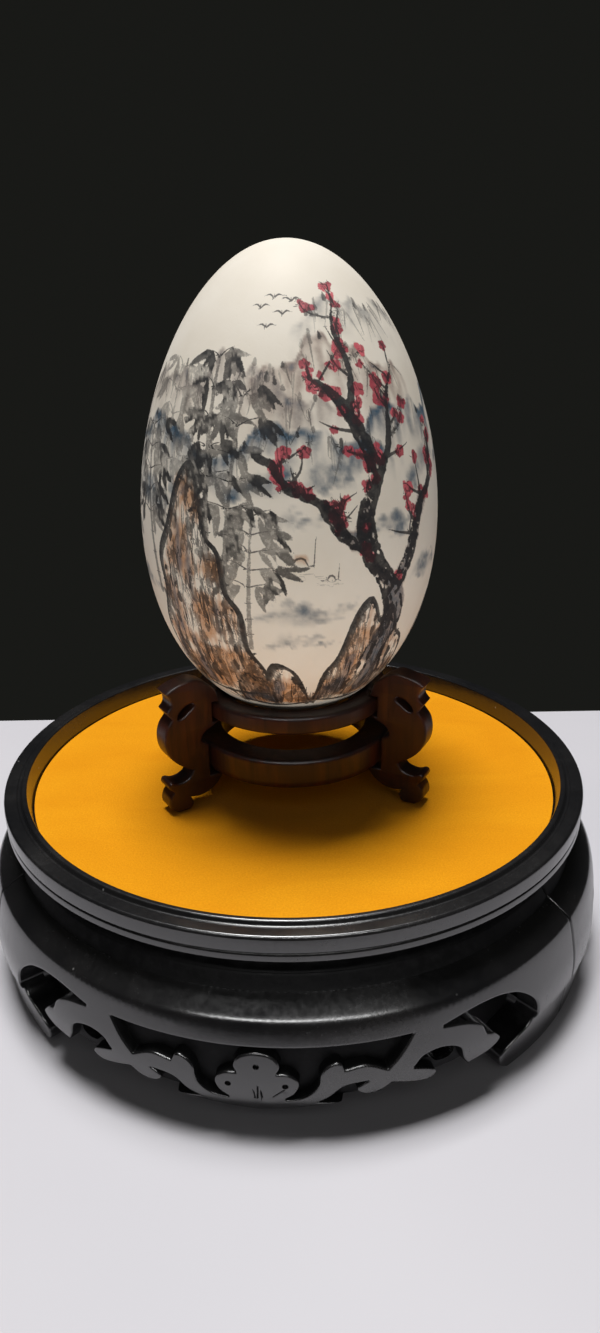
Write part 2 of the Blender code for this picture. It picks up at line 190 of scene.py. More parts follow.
# The painting on the egg is laid out in degrees round it and millimetres above its lower end.
# A stroke is (points, half widths); a half width runs from one end of the stroke to the other.
SEED = 11
chance = random.Random(SEED)
between = chance.uniform
LINE_REACH = 1.2
PAINT = {
    "mass": -LINE_REACH, "mass_tone": 0.0, "line": -LINE_REACH, "across": LINE_REACH, "half": 0.0, "line_tone": 0.0,
    "petal": -LINE_REACH, "petal_tone": 0.0, "blue": 0.0, "grey": 0.0, "ochre": 0.0,
}
THIN_PAINTS = (("ochre", (0.56, 0.30, 0.15)), ("grey", (0.16, 0.165, 0.175)), ("blue", (0.045, 0.10, 0.155)))
HILLS = (
    # middle, reach in degrees, height of the crest, its rise, depth of the mist below it, blue, grey, ochre
    (-34, 56, 71, 9, 12, 0.1, 0.5, 0.3),
    (-62, 44, 61, 7, 10, 0.62, 0.46, 0),
    (20, 40, 74, 7, 16, 0.12, 0.46, 0.55),
    (6, 36, 61, 6, 9, 0.66, 0.5, 0),
    (40, 40, 81, 5, 9, 0, 0.4, 0),
    (66, 46, 65, 8, 12, 0.62, 0.48, 0.1),
    (128, 52, 68, 9, 12, 0.15, 0.46, 0.28),
    (110, 40, 58, 6, 9, 0.58, 0.4, 0),
    (178, 46, 60, 7, 10, 0.55, 0.4, 0),
    (-128, 50, 69, 8, 11, 0.2, 0.48, 0),
)
HILL_WAVES = ((0.45, 0.13, 1), (0.3, 0.29, 2), (0.14, 0.71, 5))
DOWNWARD = np.array((0.8, 0.8, 0.13))
MISTS = (
    # points, half widths, blue, grey
    (((-22, 50), (-10, 53), (2, 51), (14, 53), (24, 51)), (1.4, 3, 3.2, 2.6, 1), 0.62, 0.36),
    (((26, 42), (36, 44), (48, 42.5)), (1, 2.6, 1), 0.55, 0.32),
    (((-10, 22), (0, 24), (10, 23)), (0.8, 1.9, 0.8), 0.46, 0.4),
    (((-76, 47), (-66, 49.5), (-54, 48), (-44, 50)), (1.6, 3.4, 2.8, 1), 0.62, 0.34),
    (((-12, 45), (0, 46.5), (10, 45.5)), (1.2, 2.4, 1), 0.46, 0.3),
    (((46, 50), (58, 53), (70, 51)), (1, 3.2, 1.2), 0.6, 0.34),
    (((50, 33), (60, 35.5), (72, 34)), (1, 2.8, 1.2), 0.5, 0.36),
    (((-14, 28), (-2, 30), (10, 29), (22, 30.5)), (1, 2.2, 2, 0.8), 0.44, 0.36),
    (((-84, 30), (-72, 32), (-60, 31)), (1, 2.6, 1), 0.46, 0.38),
    (((84, 46), (100, 48), (116, 46), (134, 48)), (1.4, 3.4, 3, 1.2), 0.55, 0.34),
    (((140, 38), (158, 40), (176, 38)), (1.2, 3, 1.2), 0.5, 0.38),
    (((-168, 45), (-150, 47), (-132, 45)), (1.2, 3.2, 1.2), 0.55, 0.34),
    (((-120, 36), (-104, 38), (-88, 36)), (1.2, 3, 1.2), 0.5, 0.36),
)
TRUNKS = (
    # points, half widths
    (
        ((40, 12), (37, 19), (43, 26), (38, 33), (30, 39), (27, 46), (32, 53), (27, 60), (18, 66), (8, 69)),
        (3, 2.5, 2.3, 2, 1.8, 1.45, 1.2, 0.9, 0.6, 0.25),
    ),
    (((39, 31), (48, 38), (54, 46), (63, 50), (69, 58)), (1.7, 1.3, 1.05, 0.7, 0.25)),
    (((30, 40), (19, 43), (11, 49), (1, 51), (-7, 56)), (1.5, 1.1, 0.9, 0.6, 0.25)),
    (((30, 50), (39, 57), (43, 65), (51, 70)), (1, 0.75, 0.5, 0.2)),
    (((24, 63), (27, 70), (23, 76), (26, 80)), (0.75, 0.6, 0.4, 0.18)),
    (((-163, 14), (-158, 22), (-164, 30), (-157, 38), (-162, 46), (-152, 54)), (2.4, 2, 1.6, 1.3, 0.9, 0.35)),
    (((-159, 36), (-146, 41), (-138, 48), (-128, 51)), (1.1, 0.9, 0.55, 0.2)),
    (((-161, 42), (-174, 47), (-184, 53)), (0.9, 0.65, 0.25)),
)
ROCKS = (
    # outline from the left foot over the top to the right foot, wash
    (
        (
            (-58, 15), (-60, 23), (-54, 31), (-55, 38), (-49, 44), (-44, 52), (-38, 55), (-34, 50), (-31, 43),
            (-26, 40), (-24, 33), (-19, 29), (-18, 22), (-12, 17), (-10, 11),
        ),
        0.8,
    ),
    (((-30, 8), (-27, 13), (-20, 16), (-13, 14), (-8, 18.5), (0, 17), (5, 12.5), (10, 8)), 0.75),
    (((12, 8.5), (15, 16), (20, 20), (25, 28), (31, 31), (36, 26), (41, 29), (47, 23), (54, 20), (60, 12)), 0.75),
    (((66, 12), (70, 22), (76, 27), (82, 22), (86, 13)), 0.55),
    (((92, 10), (95, 24), (101, 34), (107, 30), (111, 36), (118, 28), (121, 18), (128, 10)), 0.75),
    (((-178, 9), (-172, 16), (-166, 20), (-158, 18), (-152, 13), (-146, 9)), 0.65),
    (((-112, 10), (-108, 24), (-101, 33), (-96, 26), (-88, 18), (-84, 10)), 0.6),
)
BAMBOOS = (
    # foot, top, half width, tone
    ((-24, 30), (-18, 66), 0.55, 1),
    ((-30, 34), (-31, 72), 0.62, 1),
    ((-58, 30), (-66, 60), 0.52, 1),
    ((-50, 40), (-52, 70), 0.45, 0.6),
    ((-16, 22), (-13, 47), 0.42, 0.9),
    ((-100, 28), (-96, 62), 0.55, 0.95),
    ((-91, 20), (-86, 54), 0.45, 0.6),
    ((122, 24), (130, 58), 0.55, 0.95),
    ((144, 14), (148, 50), 0.45, 0.6),
)
CANE_JOINTS = 8
BIRDS = ((-14, 79.5), (-7, 81), (-2, 78.5), (3, 80.5), (-10, 76.5), (150, 76), (157, 77.5))
BOATS = ((3, 38, 1.15), (14, 35.5, 0.6), (170, 46, 0.8))

CURVE_STEPS = 10
ROUNDING_STEPS = 4

# The camera stands where the photograph was taken from: pitch, yaw and roll in radians, place in metres
CAMERA_ANGLES = (0.3922, 0.009, -0.0132)
CAMERA_PLACE = (0.0, -0.18534, 0.1367)
CAMERA_LENS = 25.66
FLOOR = ((-0.9, -0.12), (0.9, 0.102))
BACKDROP = (0.0095, 0.0098, 0.0085, 1.0)
WHITE = (1.0, 1.0, 1.0)
LIGHTS = (
    # name, place, target, size, power, colour, rays that don't see it
    ("ceiling_light", (-0.08, 0.19, 1.70), (0.0, 0.0, 0.05), (0.66, 0.50), 32.0, WHITE, []),
    ("strip_light", (-0.02, -0.60, 0.78), (0.0, -0.06, 0.03), (0.80, 0.06), 3.2, WHITE, ["visible_diffuse"]),
    ("fill_light", (0.0, -1.2, 0.9), (0.0, 0.0, 0.03), (2.0, 1.2), 1.6, WHITE, ["visible_glossy"]),
    (
        "bounce_light", (0.0, -1.3, -0.45), (0.0, 0.0, 0.09), (2.4, 0.6), 13.0, (1.0, 0.97, 0.93),
        ["visible_glossy"],
    ),
)


def link(item):
    bpy.context.scene.collection.objects.link(item)
    return item


def mesh_object(name, points, faces):
    mesh = bpy.data.meshes.new(name)
    mesh.from_pydata([tuple(point) for point in points], [], [tuple(face) for face in faces])
    mesh.update()
    return link(bpy.data.objects.new(name, mesh))


def baked(item):
    """Replaces an object with a welded mesh of what its modifiers or curve make."""
    bpy.context.view_layer.update()
    shape = item.evaluated_get(bpy.context.evaluated_depsgraph_get())
    mesh = bpy.data.meshes.new_from_object(shape)
    soup = bmesh.new()
    soup.from_mesh(mesh)
    bmesh.ops.remove_doubles(soup, verts=soup.verts, dist=0.002 * MM)
    bmesh.ops.recalc_face_normals(soup, faces=soup.faces)
    soup.to_mesh(mesh)
    soup.free()
    name = item.name
    place = item.matrix_world.copy()
    bpy.data.objects.remove(item, do_unlink=True)
    result = link(bpy.data.objects.new(name, mesh))
    result.matrix_world = place
    return result


def rounded(corners):
    """A profile whose corners are rounded, each by its own length along its sides."""
    path = []
    count = len(corners)
    for index, (across, up, rounding) in enumerate(corners):
        here = Vector((across, up))
        before = Vector(corners[index - 1][:2])
        after = Vector(corners[(index + 1) % count][:2])
        if rounding == 0.0:
            path.append(here)
            continue
        start = here + (before - here).normalized() * min(rounding, 0.45 * (before - here).length)
        end = here + (after - here).normalized() * min(rounding, 0.45 * (after - here).length)
        for step in range(ROUNDING_STEPS + 1):
            t = step / ROUNDING_STEPS
            path.append(start.lerp(here, t).lerp(here.lerp(end, t), t))
    return path


def bands(rings, segments, first=0, closed=False):
    """The faces between rings of points, which are numbered from first."""
    faces = []
    for ring in range(rings if closed else rings - 1):
        this, below = first + ring * segments, first + (ring + 1) % rings * segments
        for k in range(segments):
            follow = (k + 1) % segments
            faces.append((this + k, below + k, below + follow, this + follow))
    return faces


def lathed(name, path, segments, closed):
    """A profile turned about Z. An open one starts and ends on the axis."""
    ring = np.array([(point.x, point.y) for point in path])
    turn = np.arange(segments) * 2.0 * math.pi / segments
    points = np.empty((len(ring), segments, 3))
    points[..., 0] = ring[:, :1] * np.cos(turn)
    points[..., 1] = ring[:, :1] * np.sin(turn)
    points[..., 2] = ring[:, 1:]
    return baked(mesh_object(name, points.reshape(-1, 3) * MM, bands(len(ring), segments, closed=closed)))


def eased(t):
    return t * t * (3.0 - 2.0 * t)


def smooth_points(points):
    """A closed outline, curved through its smooth points and straight between its corners."""
    places = [Vector(point[:2]) for point in points]
    sharp = [len(point) > 2 for point in points]
    count = len(points)
    path = []
    for index in range(count):
        before, start, end, after = (places[(index + step) % count] for step in (-1, 0, 1, 2))
        first, last = sharp[index], sharp[(index + 1) % count]
        span = end - start
        leave = (span if first else end - before).normalized() * span.length
        arrive = (span if last else after - start).normalized() * span.length
        for step in range(1 if first and last else CURVE_STEPS):
            t = step / CURVE_STEPS
            start_pull = t * (1.0 - t) * (1.0 - t)
            end_pull = t * t * (1.0 - t)
            path.append(start.lerp(end, eased(t)) + leave * start_pull - arrive * end_pull)
    return path


def smooth(item, degrees=35.0):
    item.data.shade_smooth()
    item.data.set_sharp_from_angle(angle=math.radians(degrees))


def dressed(item, materials, slot, *nodes):
    """Gives a piece its materials, puts it under the body, and hides the model's parts that it stands in for."""
    item.data.materials.clear()
    for material in materials:
        item.data.materials.append(material)
    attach(item, BODY)
    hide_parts(*nodes)


class Shader:
    """A few short words for building a material out of nodes."""

    def __init__(self, name, color, roughness):
        self.material = bpy.data.materials.new(name)
        self.material.use_nodes = True
        self.tree = self.material.node_tree
        self.surface = self.tree.nodes["Principled BSDF"]
        self.set("Base Color", (*color, 1.0))
        self.set("Roughness", roughness)

    def put(self, value, socket):
        if isinstance(value, bpy.types.NodeSocket):
            self.tree.links.new(value, socket)
        else:
            socket.default_value = value

    def set(self, name, value):
        self.put(value, self.surface.inputs[name])

    def node(self, kind, inputs, **settings):
        made = self.tree.nodes.new(kind)
        for key, value in settings.items():
            setattr(made, key, value)
        for key, value in inputs.items():
            self.put(value, made.inputs[key])
        return made.outputs

    def place(self):
        return self.node("ShaderNodeTexCoord", {})["Object"]

    def moved(self, vector, scale):
        return self.node("ShaderNodeMapping", {"Vector": vector, "Scale": scale})["Vector"]

    def noise(self, vector, scale, detail=4.0, rough=0.55, distortion=0.0):
        inputs = {"Vector": vector, "Scale": scale, "Detail": detail, "Roughness": rough, "Distortion": distortion}
        return self.node("ShaderNodeTexNoise", inputs)["Fac"]

    def cells(self, vector, scale):
        return self.node("ShaderNodeTexVoronoi", {"Vector": vector, "Scale": scale})

    def spread(self, value, low, high, new_low=0.0, new_high=1.0, curve="LINEAR"):
        inputs = {"Value": value, "From Min": low, "From Max": high, "To Min": new_low, "To Max": new_high}
        return self.node("ShaderNodeMapRange", inputs, interpolation_type=curve)["Result"]

    def math(self, operation, first, second=0.0, third=0.0):
        return self.node("ShaderNodeMath", {0: first, 1: second, 2: third}, operation=operation)[0]

    def times(self, first, second):
        return self.math("MULTIPLY", first, second)

    def mix(self, share, first, second):
        first, second = ((*value, 1.0) if isinstance(value, tuple) else value for value in (first, second))
        inputs = {0: share, 6: first, 7: second}
        return self.node("ShaderNodeMix", inputs, data_type="RGBA", clamp_factor=True)[2]

    def bump(self, height, distance, strength=1.0, normal=(0.0, 0.0, 0.0)):
        inputs = {"Height": height, "Distance": distance, "Strength": strength, "Normal": normal}
        return self.node("ShaderNodeBump", inputs)["Normal"]

    def value(self, name):
        """A number kept for every point of the mesh."""
        return self.node("ShaderNodeAttribute", {}, attribute_name=name)["Fac"]

    def specks(self, place, scale, inner, outer, rare):
        """Small marks in a few cells out of many: those whose own number is above a rare one."""
        cells = self.cells(place, scale)
        speck = self.spread(cells["Distance"], inner, outer, 1.0, 0.0)
        number = self.node("ShaderNodeSeparateXYZ", {0: cells["Color"]})[0]
        return self.times(speck, self.spread(number, rare, rare + 0.01))


def lacquer():
    """Black lacquer over carved wood, with fine scratches, dull patches and a little dust."""
    look = Shader("black_lacquer", (0.010, 0.010, 0.011), 0.3)
    place = look.place()
    patches = look.noise(place, 45.0, 3.0)
    fine = look.noise(place, 900.0, 3.0, 0.6)
    roughness = look.spread(patches, 0.3, 0.7, 0.17, 0.26)
    look.set("Roughness", look.math("ADD", roughness, look.spread(fine, 0.3, 0.7, -0.02, 0.05)))
    tint = look.mix(look.spread(patches, 0.35, 0.75), (0.007, 0.007, 0.008), (0.016, 0.015, 0.015))
    dust = look.specks(place, 480.0, 0.05, 0.13, 0.955)
    scratches = look.specks(look.moved(place, (1.0, 1.0, 0.16)), 260.0, 0.03, 0.06, 0.94)
    look.set("Base Color", look.mix(look.math("MAXIMUM", dust, scratches), tint, (0.20, 0.20, 0.195)))
    look.set("Normal", look.bump(look.noise(place, 160.0, 4.0, 0.5), 0.00025, 0.25))
    look.set("IOR", 1.85)
    return look.material


def shaded_carved_ground():
    """The cut-back ground between the scrolls, also used on the crease and the waist: black, dull and dusty, with a
    darker colour and weak reflection that are painted shade.
    """
    # Painted shade: a darker black than the lacquer, and a low IOR that takes most reflection away.
    look = Shader("dull_lacquer_painted_shade", (0.006, 0.006, 0.007), 0.6)
    place = look.place()
    dust = look.noise(place, 500.0, 5.0, 0.65)
    look.set("Base Color", look.mix(look.spread(dust, 0.45, 0.8), (0.0045, 0.0045, 0.005), (0.016, 0.016, 0.017)))
    look.set("Roughness", look.spread(dust, 0.3, 0.7, 0.48, 0.68))
    look.set("Normal", look.bump(look.noise(place, 600.0, 4.0, 0.6), 0.0002, 0.5))
    look.set("IOR", 1.25)
    return look.material


def rosewood():
    """Dark red-brown wood, nearly black in the grain, with a worn shellac gloss."""
    look = Shader("carved_rosewood", (0.085, 0.026, 0.014), 0.42)
    place = look.place()
    grain = look.noise(look.moved(place, (1.0, 1.0, 0.12)), 420.0, 5.0, 0.6, 0.6)
    blotch = look.noise(place, 90.0, 3.0)
    shade = look.mix(look.spread(grain, 0.35, 0.68), (0.015, 0.0046, 0.0032), (0.080, 0.020, 0.009))
    look.set("Base Color", look.mix(look.spread(blotch, 0.35, 0.7), shade, (0.028, 0.010, 0.007)))
    look.set("Roughness", look.spread(grain, 0.3, 0.7, 0.48, 0.32))
    look.set("Normal", look.bump(grain, 0.00012, 0.5))
    return look.material


def velvet():
    """Orange-yellow velvet, with its pile brushed a little unevenly."""
    look = Shader("orange_velvet", (0.95, 0.34, 0.002), 0.9)
    place = look.place()
    brushed = look.noise(look.moved(place, (1.0, 2.2, 1.0)), 28.0, 3.0, 0.55, 0.8)
    pile = look.noise(place, 2600.0, 2.0, 0.7)
    base = look.mix(look.spread(brushed, 0.3, 0.7), (0.80, 0.31, 0.005), (0.88, 0.37, 0.008))
    look.set("Base Color", look.mix(look.spread(pile, 0.35, 0.65, 0.0, 0.35), base, (0.62, 0.20, 0.003)))
    look.set("Normal", look.bump(pile, 0.0004, 0.5))
    look.set("Roughness", look.spread(pile, 0.3, 0.7, 0.85, 0.98))
    look.set("Specular IOR Level", 0.1)
    look.set("Sheen Weight", 0.12)
    look.set("Sheen Roughness", 0.5)
    look.set("Sheen Tint", (1.0, 0.5, 0.05, 1.0))
    return look.material


def shell():
    """Washed eggshell: ivory, faintly mottled, with open pores, and brushed with ink and thin colour."""
    look = Shader("painted_shell", (0.78, 0.72, 0.62), 0.45)
    place, value, times = look.place(), look.value, look.times
    mottle = look.noise(place, 60.0, 5.0, 0.6)
    color = look.mix(look.spread(mottle, 0.3, 0.7), (0.83, 0.755, 0.635), (0.90, 0.835, 0.73))
    settled = look.spread(look.noise(place, 800.0, 4.0, 0.65), 0.3, 0.7, 0.72, 1.2)
    for layer, paint in THIN_PAINTS:
        color = look.mix(times(value(layer), settled), color, paint)
    ragged = look.math("SUBTRACT", look.noise(place, 3200.0, 2.0, 0.5), 0.5)
    petal = look.math("MULTIPLY_ADD", ragged, 0.35, value("petal"))
    red = look.mix(value("petal_tone"), (0.66, 0.10, 0.13), (0.30, 0.012, 0.035))
    color = look.mix(times(look.spread(petal, -0.02, 0.12), 0.94), color, red)
    mass = look.math("MULTIPLY_ADD", ragged, 0.34, value("mass"))
    dry = look.spread(look.noise(place, 1500.0, 3.0, 0.7), 0.34, 0.46)
    wet = look.math("MAXIMUM", dry, look.spread(value("mass_tone"), 0.45, 0.95, 0.45, 1.0))
    broad = times(times(look.spread(mass, -0.03, 0.1), wet), value("mass_tone"))
    thin = look.math("SUBTRACT", value("half"), look.math("ABSOLUTE", value("across")))
    thin = look.spread(look.math("MULTIPLY_ADD", ragged, 0.22, thin), -0.05, 0.06)
    near = look.math("GREATER_THAN", value("line"), -0.3)
    ink = look.math("MAXIMUM", broad, times(times(thin, near), value("line_tone")))
    color = look.mix(times(ink, look.spread(settled, 0.7, 1.2, 0.9, 1.0)), color, (0.012, 0.012, 0.014))
    look.set("Base Color", color)
    look.set("Roughness", look.math("MULTIPLY_ADD", ink, 0.12, look.spread(mottle, 0.3, 0.7, 0.58, 0.72)))
    pores = look.spread(look.cells(place, 1100.0)["Distance"], 0.0, 0.35, 0.0, 1.0, "SMOOTHSTEP")
    look.set("Normal", look.bump(pores, 0.00003, 0.35, look.bump(mottle, 0.0002, 0.2)))
    return look.material


def build_tray(black, dull):
    tray = lathed("plinth_rim", rounded(TRAY_PROFILE), TURNED_SEGMENTS, closed=False)
    smooth(tray)
    dressed(tray, (black, dull), "black_lacquer", "plinth_top")
    # Below the tray's step the waist gets the dull lacquer, whose darker colour is painted shade.
    for face in tray.data.polygons:
        face.material_index = 1 if face.center.z < TRAY_STEP * MM else 0


def build_disc(material):
    """A glued disc of velvet, dished very slightly and wavy at its trimmed edge."""
    edge = DISC_RINGS - 2
    points = [(0.0, 0.0, DISC_TOP)]
    for ring in range(1, DISC_RINGS + 1):
        for k in range(DISC_SEGMENTS):
            turn = 2.0 * math.pi * k / DISC_SEGMENTS
            radius = DISC_RADIUS * min(ring / edge, 1.0)
            x, y = radius * math.cos(turn), radius * math.sin(turn)
            height = DISC_TOP - 0.45 if ring == edge + 1 else DISC_BOTTOM
            if ring <= edge:
                wave = noise.noise(Vector((x, y, 0.0)) * 0.06) * 0.08 + noise.noise(Vector((x, y, 5.0)) * 0.35) * 0.02
                height = DISC_TOP + wave - (0.12 if ring == edge else 0.0)
            points.append((x, y, height))
    faces = [(0, 1 + k, 1 + (k + 1) % DISC_SEGMENTS) for k in range(DISC_SEGMENTS)]
    faces += bands(DISC_RINGS, DISC_SEGMENTS, 1)
    last = 1 + (DISC_RINGS - 1) * DISC_SEGMENTS
    points.append((0.0, 0.0, DISC_BOTTOM))
    faces += [(last + (k + 1) % DISC_SEGMENTS, last + k, len(points) - 1) for k in range(DISC_SEGMENTS)]
    disc = mesh_object("velvet_top", np.array(points) * MM, faces)
    smooth(disc, 60.0)
    dressed(disc, [material], "orange_velvet", "velvet_disc")


def build_rings(material):
    for name, profile, node in (
        ("egg_cup_ring", TOP_RING_PROFILE, "stand_top_ring"), ("leg_ring", LOWER_RING_PROFILE, "stand_lower_ring"),
    ):
        raised = [(across, FELT_LEVEL + up, rounding) for across, up, rounding in profile]
        ring = lathed(name, rounded(raised), RING_SEGMENTS, closed=True)
        smooth(ring, 50.0)
        dressed(ring, [material], "carved_rosewood", node)


def flat_outline(name, outlines, half_depth, bevel):
    """Closed outlines in the XY plane, those inside another being holes, with rounded edges."""
    curve = bpy.data.curves.new(name, "CURVE")
    curve.dimensions = "2D"
    curve.fill_mode = "BOTH"
    curve.extrude = (half_depth - bevel) * MM
    curve.bevel_depth = bevel * MM
    curve.bevel_resolution = 3
    curve.offset = -bevel * MM
    for path in outlines:
        spline = curve.splines.new("POLY")
        spline.points.add(len(path) - 1)
        for knot, place in zip(spline.points, path):
            knot.co = (place.x * MM, place.y * MM, 0.0, 1.0)
        spline.use_cyclic_u = True
    return baked(link(bpy.data.objects.new(name, curve)))


def build_legs(material):
    outlines = [smooth_points(LEG_OUTLINE), smooth_points(LEG_EYE)]
    shape = flat_outline("leg_shape", outlines, LEG_THICKNESS / 2.0, LEG_BEVEL)
    shape.data.transform(Matrix.Rotation(math.radians(90.0), 4, "X"))
    for index in range(LEG_COUNT):
        turn = Matrix.Rotation(math.radians(FIRST_LEG - 90.0 + index * 360.0 / LEG_COUNT), 4, "Z")
        data = shape.data.copy()
        data.transform(Matrix.Translation((0.0, 0.0, FELT_LEVEL * MM)) @ turn)
        leg = link(bpy.data.objects.new("carved_leg_%d" % (index + 1), data))
        smooth(leg, 40.0)
        dressed(leg, [material], "carved_rosewood", "stand_leg_%d" % (index + 1))
    bpy.data.objects.remove(shape, do_unlink=True)


def with_mirror_image(points):
    """The outline of the half towards +X, joined to its mirror image."""
    return tuple(points) + tuple(reversed([point for point in to_side(points, -1.0) if point[0] < 0.0]))


def to_side(points, side):
    return tuple((across * side, up, *kind) for across, up, *kind in points)


def shape_field(points):
    """How far each place of the grid is inside an outline in degrees. Outside it the number is negative."""
    scale = math.radians(1.0) * WALL_RADIUS
    along_wall = [(across * scale, up, *kind) for across, up, *kind in points]
    path = np.array([(place.x, place.y) for place in smooth_points(along_wall)])
    near = []
    for axis, places in enumerate((ALONG, HEIGHTS)):
        low, high = path[:, axis].min() - FIELD_REACH, path[:, axis].max() + FIELD_REACH
        near.append(np.flatnonzero((places > low) & (places < high)))
    x, z = np.meshgrid(ALONG[near[0]], HEIGHTS[near[1]], indexing="ij")
    nearest = np.full(x.shape, FIELD_REACH ** 2)
    inside = np.zeros(x.shape, bool)
    for start, end in zip(path, np.roll(path, -1, 0)):
        span = end - start
        length = span @ span
        if length == 0.0:
            continue
        share = np.clip(((x - start[0]) * span[0] + (z - start[1]) * span[1]) / length, 0.0, 1.0)
        apart = (x - start[0] - share * span[0]) ** 2 + (z - start[1] - share * span[1]) ** 2
        nearest = np.minimum(nearest, apart)
        if start[1] != end[1]:
            crossing = start[0] + (z - start[1]) * span[0] / span[1]
            inside ^= ((start[1] > z) != (end[1] > z)) & (x < crossing)
    distance = np.sqrt(nearest)
    field = np.full((len(ALONG), len(HEIGHTS)), -FIELD_REACH)
    field[np.ix_(*near)] = np.where(inside, distance, -distance)
    return field


def contour(field, level):
    """The places where a field passes a level, and the pairs of them that are joined."""
    above = field - level
    above[above == 0.0] = 1e-9
    points, numbers, pairs = [], {}, []

    def crossing(first, second):
        key = (first, second)
        if key not in numbers:
            a, b = above[first], above[second]
            start, end = (np.array((ALONG[i], HEIGHTS[j])) for i, j in key)
            numbers[key] = len(points)
            points.append(start + a / (a - b) * (end - start))
        return numbers[key]

    up = above > 0.0
    count = up[:-1, :-1].astype(int) + up[1:, :-1] + up[:-1, 1:] + up[1:, 1:]
    for i, j in np.argwhere((count > 0) & (count < 4)):
        corners = [(i, j), (i + 1, j), (i + 1, j + 1), (i, j + 1)]
        sides = ((0, 1), (1, 2), (3, 2), (0, 3))
        cut = [crossing(corners[a], corners[b]) for a, b in sides if up[corners[a]] != up[corners[b]]]
        if len(cut) == 2:
            pairs.append(tuple(cut))
        elif (sum(above[corner] for corner in corners) > 0.0) == up[corners[0]]:
            pairs += [(cut[0], cut[1]), (cut[2], cut[3])]
        else:
            pairs += [(cut[0], cut[3]), (cut[1], cut[2])]
    return points, pairs


def quarter_round(inside, width):
    """How deep a rounded edge lies, this far in from its outline."""
    left = np.clip(width - inside, 0.0, width)
    return width - np.sqrt(width * width - left * left)


def segment_distance(places, start, end):
    start, end = np.array(start), np.array(end)
    span = end - start
    share = np.clip((places - start) @ span / (span @ span), 0.0, 1.0)
    return np.linalg.norm(places - start - share[:, None] * span, axis=1)


def sampled(field, places):
    """A field's value at places between those of the grid."""
    x = np.clip((places[:, 0] - ALONG[0]) / FIELD_STEP, 0.0, len(ALONG) - 1.001)
    z = np.clip((places[:, 1] - HEIGHTS[0]) / FIELD_STEP, 0.0, len(HEIGHTS) - 1.001)
    i, j = x.astype(int), z.astype(int)
    u, v = x - i, z - j
    low = field[i, j] * (1.0 - u) + field[i + 1, j] * u
    high = field[i, j + 1] * (1.0 - u) + field[i + 1, j + 1] * u
    return low * (1.0 - v) + high * v


def carved_depth(places, wall, pocket):
    """How far the front lies behind the plain belly."""
    depth = quarter_round(wall, OUTER_ROUNDING)
    lip = quarter_round(-pocket, CARVED_ROUNDING)
    drop = np.clip(pocket / CARVED_SLOPE, 0.0, 1.0) * (RECESS_DEPTH - CARVED_ROUNDING) + CARVED_ROUNDING
    depth = np.maximum(depth, np.where(pocket > 0.0, drop, lip))
    for dot in DOTS:
        inside = DOT_RADIUS - np.linalg.norm(places - np.array(dot), axis=1)
        depth += np.clip(inside / DOT_SLOPE, 0.0, 1.0) * DOT_DEPTH
    for start, end in VEINS:
        depth += np.clip(1.0 - segment_distance(places, start, end) / VEIN_WIDTH, 0.0, 1.0) * VEIN_DEPTH
    return depth


def apron_fields():
    """How far each place is inside the wall, and how far inside the ground that is carved back."""
    x, z = np.meshgrid(ALONG, HEIGHTS, indexing="ij")
    to_mm = math.radians(1.0) * WALL_RADIUS
    wall = np.minimum(APRON_HALF * to_mm - np.abs(x), WALL_TOP - z)
    pocket = np.minimum(RECESS_HALF * to_mm - np.abs(x), SEAM_HEIGHT - z)
    for outline in (with_mirror_image(APRON_EDGE), *(to_side(OVAL, side) for side in SIDES)):
        wall = np.minimum(wall, -shape_field(outline))
    raised = (with_mirror_image(RAIL), with_mirror_image(TREFOIL))
    for outline in (*raised, *(to_side(SCROLL, side) for side in SIDES)):
        pocket = np.minimum(pocket, -shape_field(outline))
    return wall, pocket


def levels(width, angles):
    """How far in a rounded edge has turned by these angles."""
    return [width * (1.0 - math.cos(math.radians(90.0 - angle))) for angle in angles]


